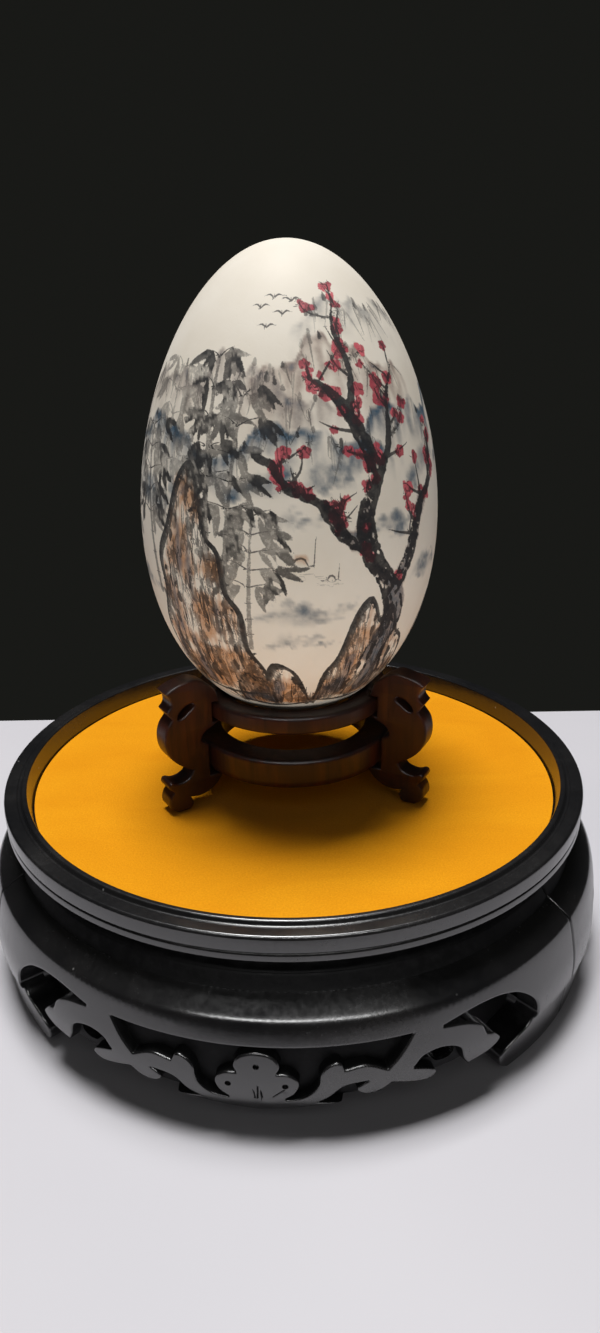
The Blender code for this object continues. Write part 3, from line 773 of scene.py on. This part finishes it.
def apron_plan():
    """The carved front in flat form: its points, triangles, depth, and which triangles are dull, their darker colour
    being painted shade.
    """
    wall, pocket = apron_fields()
    points, edges = [], []

    def add(new_points, new_edges):
        first = len(points)
        points.extend(Vector(place) for place in new_points)
        edges.extend((first + a, first + b) for a, b in new_edges)

    for level in (*levels(OUTER_ROUNDING, (0.0, 25.0, 50.0, 72.0, 90.0)), OUTER_ROUNDING + FLAT_LINE):
        add(*contour(wall, level))
    for level in (*levels(-CARVED_ROUNDING, (0.0, 30.0, 60.0, 90.0)), CARVED_SLOPE, -CARVED_ROUNDING - FLAT_LINE):
        add(*contour(pocket, level))
    for dot in DOTS:
        for radius in (DOT_RADIUS, DOT_RADIUS - DOT_SLOPE):
            turns = np.arange(DOT_POINTS) * math.pi / (DOT_POINTS / 2)
            ring = [(dot[0] + radius * math.cos(turn), dot[1] + radius * math.sin(turn)) for turn in turns]
            add(ring, [(k, (k + 1) % DOT_POINTS) for k in range(DOT_POINTS)])
    for start, end in VEINS:
        add([start, end], [(0, 1)])
        side = Vector((end[1] - start[1], start[0] - end[0])).normalized() * VEIN_WIDTH
        for sign in SIDES:
            add([Vector(start) + side * sign, Vector(end) + side * sign], [(0, 1)])
    for row, height in enumerate(PLAIN_ROWS):
        shift = 0.5 * ROW_STEP * (row % 2)
        line = np.array([(across + shift, height) for across in np.arange(-ROW_REACH, 69.0, ROW_STEP)])
        edge, cut = sampled(wall, line), sampled(pocket, line)
        clear = edge > OUTER_ROUNDING + 0.35
        clear &= (cut < -CARVED_ROUNDING - 0.4) | (cut > CARVED_SLOPE + 0.2)
        add(line[clear], [])
    places, _, faces = geometry.delaunay_2d_cdt(points, edges, [], 0, 1e-5, False)[:3]
    places = np.array([tuple(place) for place in places])
    faces = np.array([tuple(face) for face in faces])
    middles = places[faces].mean(axis=1)
    kept = sampled(wall, middles) > 0.0
    # The carved-back ground and the crease above CREASE_HEIGHT get the dull lacquer: painted shade.
    dull = (sampled(pocket, middles) > 0.0) | (middles[:, 1] > CREASE_HEIGHT)
    return places, faces[kept], carved_depth(places, sampled(wall, places), sampled(pocket, places)), dull[kept]


def on_wall(along, radius, height):
    turn = along / WALL_RADIUS
    return np.stack([radius * np.sin(turn), -radius * np.cos(turn), height], axis=1) * MM


def belly(heights, profile):
    """A radius for every height, along a smooth curve through the profile."""
    known, radii = (np.array(column) for column in zip(*profile))
    slopes = np.gradient(radii, known)
    k = np.clip(np.searchsorted(known, heights) - 1, 0, len(known) - 2)
    gap = known[k + 1] - known[k]
    t = np.clip((heights - known[k]) / gap, 0.0, 1.0)
    first = radii[k] * (1.0 + 2.0 * t) * (1.0 - t) ** 2 + gap * slopes[k] * t * (1.0 - t) ** 2
    second = radii[k + 1] * t * t * (3.0 - 2.0 * t) + gap * slopes[k + 1] * t * t * (t - 1.0)
    return first + second


def apron_wall():
    places, faces, depth, ground = apron_plan()
    used = np.unique(faces)
    renumbered = np.full(len(places), -1)
    renumbered[used] = np.arange(len(used))
    places, depth, faces = places[used], depth[used], renumbered[faces]
    along, height = places[:, 0], places[:, 1]
    front = on_wall(along, belly(height, BELLY_OUTSIDE) - depth, height)
    back = on_wall(along, belly(height, BELLY_INSIDE), height)
    count = len(places)
    directed = np.concatenate([faces[:, [0, 1]], faces[:, [1, 2]], faces[:, [2, 0]]]).tolist()
    known = {(a, b) for a, b in directed}
    rim = [(a, b) for a, b in directed if (b, a) not in known]
    everything = faces.tolist() + (faces[:, ::-1] + count).tolist()
    everything += [(b, a, a + count, b + count) for a, b in rim]
    item = mesh_object("apron_wall", np.concatenate([front, back]), everything)
    # The second material is the dull lacquer, painted shade on the carved-back ground and the crease.
    for name in ("raised", "ground"):
        item.data.materials.append(bpy.data.materials.new(name))
    dull = np.zeros(len(everything), np.int32)
    dull[:len(ground)] = ground
    item.data.polygons.foreach_set("material_index", dull)
    return item


def foot_block(side):
    """Half of a foot, at the apron's end, bent like the belly above it."""
    outline = smooth_points(to_side(FOOT_OUTLINE, -side))
    foot = flat_outline("foot", [outline], FOOT_DEPTH / 2.0, 0.4)
    soup = bmesh.new()
    soup.from_mesh(foot.data)
    for cut in range(1, int(FOOT_OUTLINE[3][0] / FOOT_CUT) + 1):
        whole = soup.verts[:] + soup.edges[:] + soup.faces[:]
        place = (-side * cut * FOOT_CUT * MM, 0.0, 0.0)
        bmesh.ops.bisect_plane(soup, geom=whole, plane_co=place, plane_no=(1.0, 0.0, 0.0), dist=1e-7)
    known, radii = zip(*FOOT_FRONT)
    for corner in soup.verts:
        across, height, outward = (value / MM for value in corner.co)
        front = float(np.interp(height, known, radii))
        turn = across / FOOT_FRONT[1][1]
        radius = (front - FOOT_DEPTH / 2.0 + outward) * MM
        corner.co = (radius * math.sin(turn), -radius * math.cos(turn), height * MM)
    soup.to_mesh(foot.data)
    soup.free()
    foot.data.transform(Matrix.Rotation(math.radians(side * 60.0), 4, "Z"))
    return foot


def joined(name, items):
    soup = bmesh.new()
    for item in items:
        soup.from_mesh(item.data)
        bpy.data.objects.remove(item, do_unlink=True)
    mesh = bpy.data.meshes.new(name)
    soup.to_mesh(mesh)
    soup.free()
    return link(bpy.data.objects.new(name, mesh))


def weighted(item):
    """Keeps broad faces flat where they meet rounded edges."""
    modifier = item.modifiers.new("Normals", "WEIGHTED_NORMAL")
    modifier.mode = "FACE_AREA_WITH_ANGLE"
    modifier.weight = 80
    modifier.keep_sharp = True
    bpy.context.view_layer.update()
    graph = bpy.context.evaluated_depsgraph_get()
    mesh = bpy.data.meshes.new_from_object(item.evaluated_get(graph), preserve_all_data_layers=True, depsgraph=graph)
    item.modifiers.clear()
    item.data = mesh


def build_aprons(black, dull):
    shape = joined("apron_shape", [apron_wall(), foot_block(1.0), foot_block(-1.0)])
    smooth(shape, 50.0)
    weighted(shape)
    # Faces of the carved-back ground and crease keep the dull lacquer of painted shade.
    carved_back_shaded = np.zeros(len(shape.data.polygons), np.int32)
    shape.data.polygons.foreach_get("material_index", carved_back_shaded)
    for index in range(APRON_COUNT):
        data = shape.data.copy()
        data.transform(Matrix.Rotation(math.radians(PLINTH_TURN + index * 360.0 / APRON_COUNT), 4, "Z"))
        apron = link(bpy.data.objects.new("carved_apron_%d" % (index + 1), data))
        dressed(apron, (black, dull), "black_lacquer", "plinth_apron_%d" % (index + 1))
        apron.data.polygons.foreach_set("material_index", carved_back_shaded)
    bpy.data.objects.remove(shape, do_unlink=True)


def egg_radius(cosine):
    sine = np.sqrt(np.maximum(0.0, 1.0 - cosine * cosine))
    return sine * (1.0 - EGG_TAPER * cosine + EGG_ROUNDNESS * cosine * cosine)


EGG_WIDEST = float(egg_radius(np.cos(np.linspace(0.0, math.pi, 2001))).max())


def curve_through(points, steps=6):
    """Points on a smooth curve that starts at the first point and ends at the last."""
    known = np.array(points, float)
    padded = np.concatenate([[2.0 * known[0] - known[1]], known, [2.0 * known[-1] - known[-2]]])
    path = []
    for a, b, c, d in zip(padded[:-3], padded[1:-2], padded[2:-1], padded[3:]):
        for step in range(steps):
            t = step / steps
            bend = 2.0 * b + (c - a) * t + (2.0 * a - 5.0 * b + 4.0 * c - d) * t * t
            path.append(0.5 * (bend + (3.0 * b - a - 3.0 * c + d) * t ** 3))
    path.append(known[-1])
    return np.array(path)


def shifted(place, across, up):
    """A place on the egg, in degrees and height, moved by millimetres along the shell."""
    cosine = np.clip(place[1] / (EGG_LENGTH / 2.0) - 1.0, -0.98, 0.98)
    radius = EGG_RADIUS * float(egg_radius(np.array(cosine))) / EGG_WIDEST
    return (place[0] + math.degrees(across / radius), place[1] + up)


def aimed(place, angle, across, up):
    return shifted(place, across * math.cos(angle), up * math.sin(angle))


def width_at(share, widths):
    return np.interp(share, np.linspace(0.0, 1.0, len(widths)), widths)


def degrees_from(middle, azimuths):
    return (azimuths - middle + 180.0) % 360.0 - 180.0


class Canvas:
    """The egg's points, and the paint that each of them carries."""

    def __init__(self, points, azimuths, heights):
        self.points = points
        self.azimuths = np.degrees(azimuths)
        self.heights = heights
        for name, start in PAINT.items():
            setattr(self, name, np.full(points.shape[:2], start))
        self.wander = self.grain(0.22)
        self.ripple = self.grain(0.9)

    def grain(self, scale, offset=0.0):
        flat = self.points.reshape(-1, 3) * scale + offset
        return np.array([noise.noise(place) for place in flat.tolist()]).reshape(self.points.shape[:2])

    def surface(self, path):
        """Places on the egg for (degrees, height) pairs."""
        cosine = np.clip(path[:, 1] / (EGG_LENGTH / 2.0) - 1.0, -1.0, 1.0)
        radius = EGG_RADIUS * egg_radius(cosine) / EGG_WIDEST
        turn = np.radians(path[:, 0])
        return np.stack([radius * np.sin(turn), -radius * np.cos(turn), EGG_BOTTOM + path[:, 1]], axis=1)

    def window(self, path, pad):
        """The part of the egg's grid near a path."""
        heights = EGG_BOTTOM + path[:, 1]
        rows = np.flatnonzero((self.heights > heights.min() - pad) & (self.heights < heights.max() + pad))
        low = np.clip(path[:, 1].min() / EGG_LENGTH, 0.05, 0.95)
        around = math.degrees(pad / max(4.0, 0.8 * EGG_RADIUS * math.sin(math.pi * low)))
        start, end = path[:, 0].min(), path[:, 0].max()
        away = degrees_from(0.5 * (start + end), self.azimuths)
        return np.ix_(rows, np.flatnonzero(np.abs(away) <= 0.5 * (end - start) + around))

    def measured(self, path, widths, area):
        """Distance to a stroke's middle line, its side, and the stroke's half width there."""
        places = self.points[area]
        steps = max(1, math.ceil(float(np.abs(np.diff(path, axis=0)).max()) / 3.0))
        marks = np.linspace(0.0, len(path) - 1.0, steps * (len(path) - 1) + 1)
        index = np.arange(len(path))
        line = self.surface(np.stack([np.interp(marks, index, column) for column in path.T], axis=1))
        half = width_at(np.linspace(0.0, 1.0, len(line)), widths)
        best = np.full(places.shape[:2], 1e9)
        side = np.zeros_like(best)
        width = np.zeros_like(best)
        for k in range(len(line) - 1):
            span = line[k + 1] - line[k]
            length = span @ span
            if length == 0.0:
                continue
            offset = places - line[k]
            share = np.clip((offset @ span) / length, 0.0, 1.0)
            apart = offset - share[..., None] * span
            distance = np.linalg.norm(apart, axis=2)
            outward = np.array([line[k][0], line[k][1], 0.0])
            left = np.cross(outward / (np.linalg.norm(outward) + 1e-9), span / math.sqrt(length))
            nearer = distance < best
            best = np.where(nearer, distance, best)
            side = np.where(nearer, np.where(apart @ left < 0.0, -1.0, 1.0), side)
            width = np.where(nearer, half[k] + share * (half[k + 1] - half[k]), width)
        return best, side, width

    def lay(self, name, path, widths, tone, wobble=0.0):
        """A stroke with a firm edge, which shows where it reaches further than the strokes before it."""
        path = np.asarray(path, float)
        area = self.window(path, max(widths) + (LINE_REACH if name == "line" else 1.0))
        distance, side, half = self.measured(path, widths, area)
        inside = half - distance + wobble * self.ripple[area]
        kept = {name: inside, name + "_tone": tone}
        if name == "line":
            kept.update(across=side * distance, half=half)
        better = inside > getattr(self, name)[area]
        for key, value in kept.items():
            layer = getattr(self, key)
            layer[area] = np.where(better, value, layer[area])

    def ink(self, *stroke):
        self.lay("mass", *stroke)

    def draw(self, *stroke):
        self.lay("line", *stroke)

    def tint(self, name, strength, area=...):
        layer = getattr(self, name)
        layer[area] = 1.0 - (1.0 - layer[area]) * (1.0 - strength)

    def wash(self, layers, path, widths, softness):
        """A soft stroke of thin paint."""
        path = np.asarray(path, float)
        area = self.window(path, max(widths) + 3.0)
        distance, _, half = self.measured(path, widths, area)
        inside = half - distance + 1.5 * self.wander[area] * np.minimum(half, 2.0) + 0.35 * self.ripple[area]
        share = eased(np.clip(inside / softness, 0.0, 1.0))
        for name, strength in layers.items():
            self.tint(name, strength * share, area)


def paint_hills(egg):
    up = (egg.heights - EGG_BOTTOM)[:, None]
    for number, (middle, reach, crest, rise, depth, *strengths) in enumerate(HILLS):
        away = degrees_from(middle, egg.azimuths[None, :])
        shape = np.clip(1.0 - (away / reach) ** 2, 0.0, 1.0)
        waves = sum(size * np.sin(away * often + late * number) for size, often, late in HILL_WAVES)
        ridge = crest - rise + rise * shape ** 0.7 * (1.0 + 0.5 * waves)
        below = ridge - up + 0.5 * egg.ripple
        edge = np.clip(below / 0.7, 0.0, 1.0)
        fade = eased(np.clip(1.0 - below / (depth * (0.75 + 0.5 * egg.wander)), 0.0, 1.0))
        strokes = np.clip(0.75 + 1.1 * egg.grain(DOWNWARD, 7.0 * number), 0.15, 1.3)
        line = np.exp(-((below - 0.9) / 0.8) ** 2) * np.clip(0.6 + 1.6 * egg.wander, 0.0, 1.0)
        share = edge * fade * np.clip(shape * 3.0, 0.0, 1.0)
        for name, strength in zip(("blue", "grey", "ochre"), strengths):
            egg.tint(name, np.clip(strength * share * (strokes + 0.7 * line), 0.0, 0.92))
        for _ in range(int(reach * 0.9)):
            column = int(np.argmin(np.abs(away[0] - between(-0.85, 0.85) * reach)))
            place = (egg.azimuths[column], ridge[0, column] + between(-2.4, 0.1))
            tone = between(0.35, 0.95)
            if chance.random() < 0.45:
                egg.ink([place, shifted(place, 0.0, between(0.5, 1.3))], (0.42, 0.2), tone, 0.3)
            else:
                fall = shifted(place, between(-1.6, 1.6), -between(1.5, 5.0))
                egg.draw([place, fall], (0.2, 0.05), 0.75 * tone)


def paint_mists(egg):
    """Clouds of mist, dabbed on side by side with a loaded brush."""
    for points, widths, blue, grey in MISTS:
        path = curve_through(points)
        egg.wash({"blue": 0.35 * blue, "grey": 0.55 * grey}, path, widths, 2.2)
        for _ in range(len(path) * 2):
            k = chance.randrange(len(path))
            wide = float(width_at(k / (len(path) - 1), widths))
            start = shifted(path[k], between(-1.5, 1.5), between(-0.75, 0.6) * wide)
            reach, rise = between(1.0, 3.6), between(-0.5, 0.9)
            middle = shifted(start, 0.5 * reach, 0.5 * rise + between(0.0, 0.9))
            strength = between(0.15, 0.75)
            layers = {"blue": strength * blue, "grey": strength * grey}
            dabbed = (0.25, between(0.35, 0.5) * wide, 0.3)
            dab = curve_through([start, middle, shifted(start, reach, rise)], 3)
            egg.wash(layers, dab, dabbed, between(0.35, 1.1))


def paint_rocks(egg):
    for outline, wash in ROCKS:
        Rock(egg, outline).paint(wash)


class Rock:
    """A rock's outline on the egg, and the brush marks inside it."""

    def __init__(self, egg, outline):
        self.egg, self.outline = egg, outline
        self.left, self.right = outline[0][0], outline[-1][0]
        self.foot = min(outline[0][1], outline[-1][1])
        self.lean = 0.0

    def top(self, across):
        return float(np.interp(across, *zip(*sorted(self.outline))))

    def marks(self, count, margin, longest, swing, slant):
        """Brush marks that run down the rock: where each starts, its length and its slant."""
        for _ in range(count):
            across = between(self.left + margin, self.right - margin)
            top = self.top(across)
            if top >= self.foot + margin + 1.0:
                start = between(self.foot + 1.0, top - 0.4 - 0.1 * (margin == 1.0))
                length = min(start - self.foot, between(1.5, longest))
                yield across, start, length, (self.lean + between(-swing, swing)) * slant * length

    def paint(self, wash):
        """Peach wash first, then grey and blue in the shade, then broken brush strokes and the outline in ink."""
        egg, left, right, foot = self.egg, self.left, self.right, self.foot
        path = curve_through(self.outline, 4)
        columns = int((right - left) / 2.6) + 1
        for step in range(columns):
            across = left + (right - left) * (step + 0.5) / columns
            top = self.top(across) - 1.0
            if top < foot + 1.0:
                continue
            egg.wash({"ochre": wash}, [(across, foot + 0.5), (across, top)], (1.3, 0.9), 0.9)
            if chance.random() < (0.75 if step < 0.3 * columns else 0.25):
                low, high = between(foot, 0.5 * (foot + top)), between(0.5 * (foot + top), top)
                egg.wash({"grey": 0.55, "blue": 0.35}, [(across, low), (across + 1.0, high)], (1.0, 0.6), 0.9)
        self.lean = between(-0.6, 0.6)
        area = sum(max(0.0, self.top(left + k) - foot) for k in range(int(right - left)))
        for across, start, length, lean in self.marks(int(area / 4.2), 0.5, 6.5, 0.8, 0.45):
            halfway = (across + 0.5 * lean + between(-1.0, 1.0), start - 0.5 * length)
            crease = curve_through([(across, start), halfway, (across + lean, start - length)], 4)
            egg.draw(crease, (0.06, between(0.12, 0.3), 0.05), between(0.5, 1.0))
        for across, start, length, lean in self.marks(int(area / 15.0), 1.0, 5.0, 0.7, 0.5):
            wide = between(0.3, 0.85)
            end = across + lean
            broken = curve_through([(across, start), (end, start - 0.5 * length), (end, start - length)], 3)
            egg.ink(broken, (0.15, wide, 0.7 * wide, 0.05), between(0.45, 1.0), 0.6)
        egg.draw(path, [0.2] + [between(0.25, 0.6) for _ in range(11)] + [0.16], 1.0)
        inner = [(across + 1.2, up - 0.7) for across, up in path[3:-5]]
        egg.draw(inner, [0.08] + [between(0.05, 0.35) for _ in range(7)] + [0.08], 0.9)
        for _ in range(int((right - left) * 0.9)):
            across = between(left, right)
            spot = (across, self.top(across) + between(-1.6, 0.6))
            egg.ink([spot, shifted(spot, between(-0.6, 0.6), 0.25)], (0.38, 0.22), 1.0, 0.2)
        ground = [(left - 3.0, foot + 0.2), (0.5 * (left + right), foot - 0.9), (right + 3.0, foot + 0.1)]
        ground = curve_through(ground, 5)
        egg.draw(ground, (0.08, 0.4, 0.45, 0.35, 0.08), 0.95)
        egg.wash({"grey": 0.6, "blue": 0.15}, ground, (0.4, 1.4, 0.4), 1.2)


def paint_grass(egg):
    for outline, _ in ROCKS:
        left, right = outline[0][0], outline[-1][0]
        for across in (left - 1.0, right + 1.0, 0.5 * (left + right)):
            for _ in range(7):
                foot = (across + between(-2.5, 2.5), outline[0][1] - between(0.0, 0.8))
                tip = shifted(foot, between(-2.6, 2.6), between(1.6, 4.6))
                middle = shifted(foot, 0.25 * (tip[0] - foot[0]), 0.6 * (tip[1] - foot[1]))
                egg.draw(curve_through([foot, middle, tip], 3), (0.2, 0.16, 0.03), between(0.6, 1.0))


def paint_blossom(egg, place, size):
    turn = between(0.0, 2.0 * math.pi)
    tone = between(0.0, 1.0)
    for petal in range(chance.choice((3, 4, 5, 5))):
        angle = turn + petal * 2.0 * math.pi / 5.0
        reach = size * 0.72
        tip = aimed(place, angle, reach, 0.85 * reach)
        near = aimed(place, angle, 0.45 * reach, 0.45 * reach)
        shade = min(1.0, max(0.0, tone + between(-0.3, 0.3)))
        egg.lay("petal", [near, tip], (0.42 * size, 0.56 * size), shade)
    for _ in range(4 if size > 0.85 else 0):
        angle = turn + between(0.0, 6.3)
        egg.draw([place, aimed(place, angle, 0.75 * size, 0.7 * size)], (0.06, 0.09), 0.85)


def paint_bark(egg, path, widths):
    """Brown-grey wash, dry strands of ink along the trunk, and a dark edge on each side."""
    egg.wash({"grey": 0.9, "ochre": 0.6}, path, [1.05 * width for width in widths], 0.5)
    wide = width_at(np.arange(len(path)) / (len(path) - 1), widths)
    for _ in range(22):
        offset = between(-0.8, 0.8)
        start = chance.randrange(max(1, len(path) - 12))
        end = start + chance.randrange(8, 22)
        strand = [shifted(place, offset * width, 0.0) for place, width in zip(path[start:end], wide[start:end])]
        egg.ink(strand, (0.1, between(0.25, 0.6), 0.1), 1.0, 0.5)
    for side in SIDES:
        edge = [shifted(place, side * width, 0.0) for place, width in zip(path, wide)]
        egg.ink(edge, [between(0.2, 0.6) for _ in range(12)], 1.0, 0.4)


def paint_twig(egg, place, wide):
    angle = between(0.15, 2.9)
    reach = between(3.0, 7.5)
    tip = aimed(place, angle, reach, reach)
    bent = 0.55 * reach * math.cos(angle) + between(-0.9, 0.9)
    twig = curve_through([tuple(place), shifted(place, bent, 0.45 * reach * math.sin(angle)), tip], 4)
    egg.draw(twig, (min(0.4, 0.5 * wide), 0.22, 0.08), 0.95)
    for bud in twig[2::3]:
        if chance.random() < 0.5:
            spot = shifted(bud, between(-0.5, 0.5), between(-0.5, 0.5))
            paint_blossom(egg, spot, between(0.62, 1.25))


def paint_trees(egg):
    for points, widths in TRUNKS:
        path = curve_through(points, 5)
        if widths[0] > 1.4:
            paint_bark(egg, path, widths)
        else:
            egg.ink(path, widths, 1.0, 0.4)
        for knot, place in enumerate(path[:-1]):
            wide = float(width_at(knot / (len(path) - 1), widths))
            if wide > 1.0 and chance.random() < 0.75:
                spot = shifted(place, chance.choice((-1.0, 1.0)) * wide, between(-0.4, 0.4))
                egg.ink([spot, shifted(spot, between(-0.4, 0.4), 0.3)], (0.45, 0.3), 1.0, 0.3)
            if wide < 1.35 and knot > 2:
                for _ in range(chance.choice((0, 1, 1) if wide < 1.0 else (0, 0, 1))):
                    paint_twig(egg, place, wide)
            if wide < 1.6 and chance.random() < 0.22:
                spot = shifted(place, between(-1.4, 1.4), between(-1.2, 1.2))
                paint_blossom(egg, spot, between(0.8, 1.3))


def paint_leaves(egg, place, tone, droop):
    for _ in range(chance.choice((3, 4, 5))):
        angle = droop + between(-0.8, 0.8)
        reach = between(3.2, 6.4)
        tip = aimed(place, angle, reach, reach)
        bent = 0.5 * reach * math.cos(angle) + between(-0.35, 0.35)
        middle = shifted(place, bent, 0.55 * reach * math.sin(angle) + 0.25)
        wide = between(0.48, 0.78)
        leaf = curve_through([place, middle, tip], 3)
        egg.ink(leaf, (0.10, wide, 0.8 * wide, 0.0), min(1.0, tone * between(0.85, 1.15)), 0.12)


def paint_bamboos(egg):
    for foot, top, wide, tone in BAMBOOS:
        line = [
            (foot[0] + (top[0] - foot[0]) * (k / CANE_JOINTS) ** 1.3, foot[1] + (top[1] - foot[1]) * k / CANE_JOINTS)
            for k in range(CANE_JOINTS + 1)
        ]
        for k, (low, high) in enumerate(zip(line, line[1:])):
            narrow = wide * (1.0 - 0.5 * k / CANE_JOINTS)
            start = (low[0], low[1] + 0.35)
            egg.ink([start, high], (1.15 * narrow, 0.85 * narrow, 0.85 * narrow, 1.1 * narrow), 0.72 * tone, 0.12)
            joint = [shifted(high, -1.3 * narrow, 0.1), shifted(high, 1.3 * narrow, 0.15)]
            egg.draw(joint, (0.08, 0.16, 0.08), tone)
            for side in SIDES if k >= 3 else ():
                reach, rise = between(1.6, 4.6), between(0.4, 2.2)
                tip = shifted(high, side * reach, rise)
                egg.draw([high, shifted(high, 0.5 * side * reach, 0.7 * rise), tip], (0.15, 0.1, 0.06), tone)
                paint_leaves(egg, tip, tone, -math.pi / 2.0 + side * 0.6)
                if chance.random() < 0.7:
                    near = shifted(high, 0.4 * side * reach, 0.4)
                    paint_leaves(egg, near, 0.7 * tone, -math.pi / 2.0 + side * 0.9)


def paint_boats(egg):
    for across, up, size in BOATS:

        def parts(*places):
            return [shifted((across, up), size * x, size * y) for x, y in places]

        hull = parts((-3.6, 0.7), (-1.8, 0.0), (0.6, -0.1), (3.0, 0.8))
        egg.ink(curve_through(hull, 4), (0.08, 0.36 * size, 0.40 * size, 0.08), 0.9, 0.05)
        roof = parts((-1.1, 0.5), (-0.4, 1.5), (0.7, 1.5), (1.3, 0.5))
        egg.draw(curve_through(roof, 4), (0.12, 0.2, 0.2, 0.12), 0.85)
        egg.wash({"ochre": 0.6}, roof[1:3], (0.5 * size, 0.5 * size), 0.5)
        egg.draw(parts((2.2, 0.4), (2.5, 4.6)), (0.12, 0.05), 0.85)
        for ripple in range(5):
            start = shifted((across, up), size * (-4.0 + 1.3 * ripple), -size * (0.9 + 0.5 * (ripple % 3)))
            egg.draw([start, shifted(start, 2.4 * size, 0.1)], (0.03, 0.12, 0.03), 0.35)


def paint_birds(egg):
    for place in BIRDS:
        for side in SIDES:
            wing = [place, shifted(place, side * 0.7, 0.55), shifted(place, side * 1.5, 0.35)]
            egg.draw(curve_through(wing, 3), (0.14, 0.16, 0.02), 0.9)


def build_egg(material):
    polar = np.linspace(0.0, math.pi, EGG_RINGS + 1)[1:-1]
    radius = EGG_RADIUS * egg_radius(np.cos(polar)) / EGG_WIDEST
    middle = EGG_BOTTOM + EGG_LENGTH / 2.0
    height = middle + EGG_LENGTH / 2.0 * np.cos(polar)
    even = (np.arange(EGG_SEGMENTS) / EGG_SEGMENTS * 2.0 - 1.0) * math.pi
    azimuth = even - FRONT_CROWDING * np.sin(even)
    grid = np.empty((len(polar), EGG_SEGMENTS, 3))
    grid[..., 0] = radius[:, None] * np.sin(azimuth)
    grid[..., 1] = -radius[:, None] * np.cos(azimuth)
    grid[..., 2] = height[:, None]
    points = np.concatenate([grid.reshape(-1, 3), [[0.0, 0.0, middle + EGG_LENGTH / 2.0], [0.0, 0.0, EGG_BOTTOM]]])
    top, bottom = len(points) - 2, len(points) - 1
    faces = bands(len(polar), EGG_SEGMENTS)
    last = (len(polar) - 1) * EGG_SEGMENTS
    for k in range(EGG_SEGMENTS):
        follow = (k + 1) % EGG_SEGMENTS
        faces += [(top, k, follow), (bottom, last + follow, last + k)]
    shape = mesh_object("painted_egg", points * MM, faces)
    shape.data.shade_smooth()
    egg = Canvas(grid, azimuth, height)
    for paint in (
        paint_hills, paint_mists, paint_rocks, paint_boats, paint_bamboos, paint_grass, paint_trees, paint_birds,
    ):
        paint(egg)
    for name in PAINT:
        layer = getattr(egg, name)
        values = np.concatenate([layer.ravel(), [layer[0].mean(), layer[-1].mean()]]).astype(np.float32)
        shape.data.attributes.new(name, "FLOAT", "POINT").data.foreach_set("value", values)
    dressed(shape, [material], "painted_shell", "egg")


def build_camera():
    """Where the photograph was taken from."""
    pitch, yaw, roll = CAMERA_ANGLES
    ahead = Vector((math.sin(yaw) * math.cos(pitch), math.cos(yaw) * math.cos(pitch), -math.sin(pitch)))
    right = Vector((math.cos(yaw), -math.sin(yaw), 0.0))
    up = right.cross(ahead)
    across = right * math.cos(roll) + up * math.sin(roll)
    upward = up * math.cos(roll) - right * math.sin(roll)
    place = Matrix((across, upward, -ahead)).transposed().to_4x4()
    place.translation = CAMERA_PLACE
    lens = bpy.data.cameras.new("camera")
    lens.lens = CAMERA_LENS
    lens.sensor_width = 36.0
    lens.clip_start = 0.01
    camera = link(bpy.data.objects.new("camera", lens))
    camera.matrix_world = place
    bpy.context.scene.camera = camera


def build_light(name, place, target, size, power, color, hidden):
    data = bpy.data.lights.new(name, "AREA")
    data.shape = "RECTANGLE"
    data.size, data.size_y = size
    data.energy = power
    data.color = color
    light = link(bpy.data.objects.new(name, data))
    light.location = place
    light.rotation_euler = (Vector(target) - Vector(place)).to_track_quat("-Z", "Y").to_euler()
    for ray in hidden:
        setattr(light, ray, False)


def build_stage():
    look = Shader("pale_floor", (0.62, 0.60, 0.63), 0.55)
    cloud = look.noise(look.place(), 6.0, 3.0)
    look.set("Base Color", look.mix(look.spread(cloud, 0.3, 0.7), (0.60, 0.585, 0.62), (0.66, 0.64, 0.67)))
    (left, front), (right, back) = FLOOR
    corners = [(left, front, 0.0), (right, front, 0.0), (right, back, 0.0), (left, back, 0.0)]
    floor = mesh_object("pale_floor", corners, [(0, 1, 2, 3)])
    floor.data.materials.append(look.material)
    bpy.context.scene.view_settings.view_transform = "Standard"
    world = bpy.data.worlds.new("studio")
    bpy.context.scene.world = world
    world.use_nodes = True
    world.node_tree.nodes["Background"].inputs["Color"].default_value = BACKDROP
    world.node_tree.nodes["Background"].inputs["Strength"].default_value = 1.0
    for light in LIGHTS:
        build_light(*light)


def main():
    black, dull, wood = lacquer(), shaded_carved_ground(), rosewood()
    build_egg(shell())
    build_rings(wood)
    build_legs(wood)
    build_disc(velvet())
    build_tray(black, dull)
    build_aprons(black, dull)
    build_camera()
    build_stage()


main()
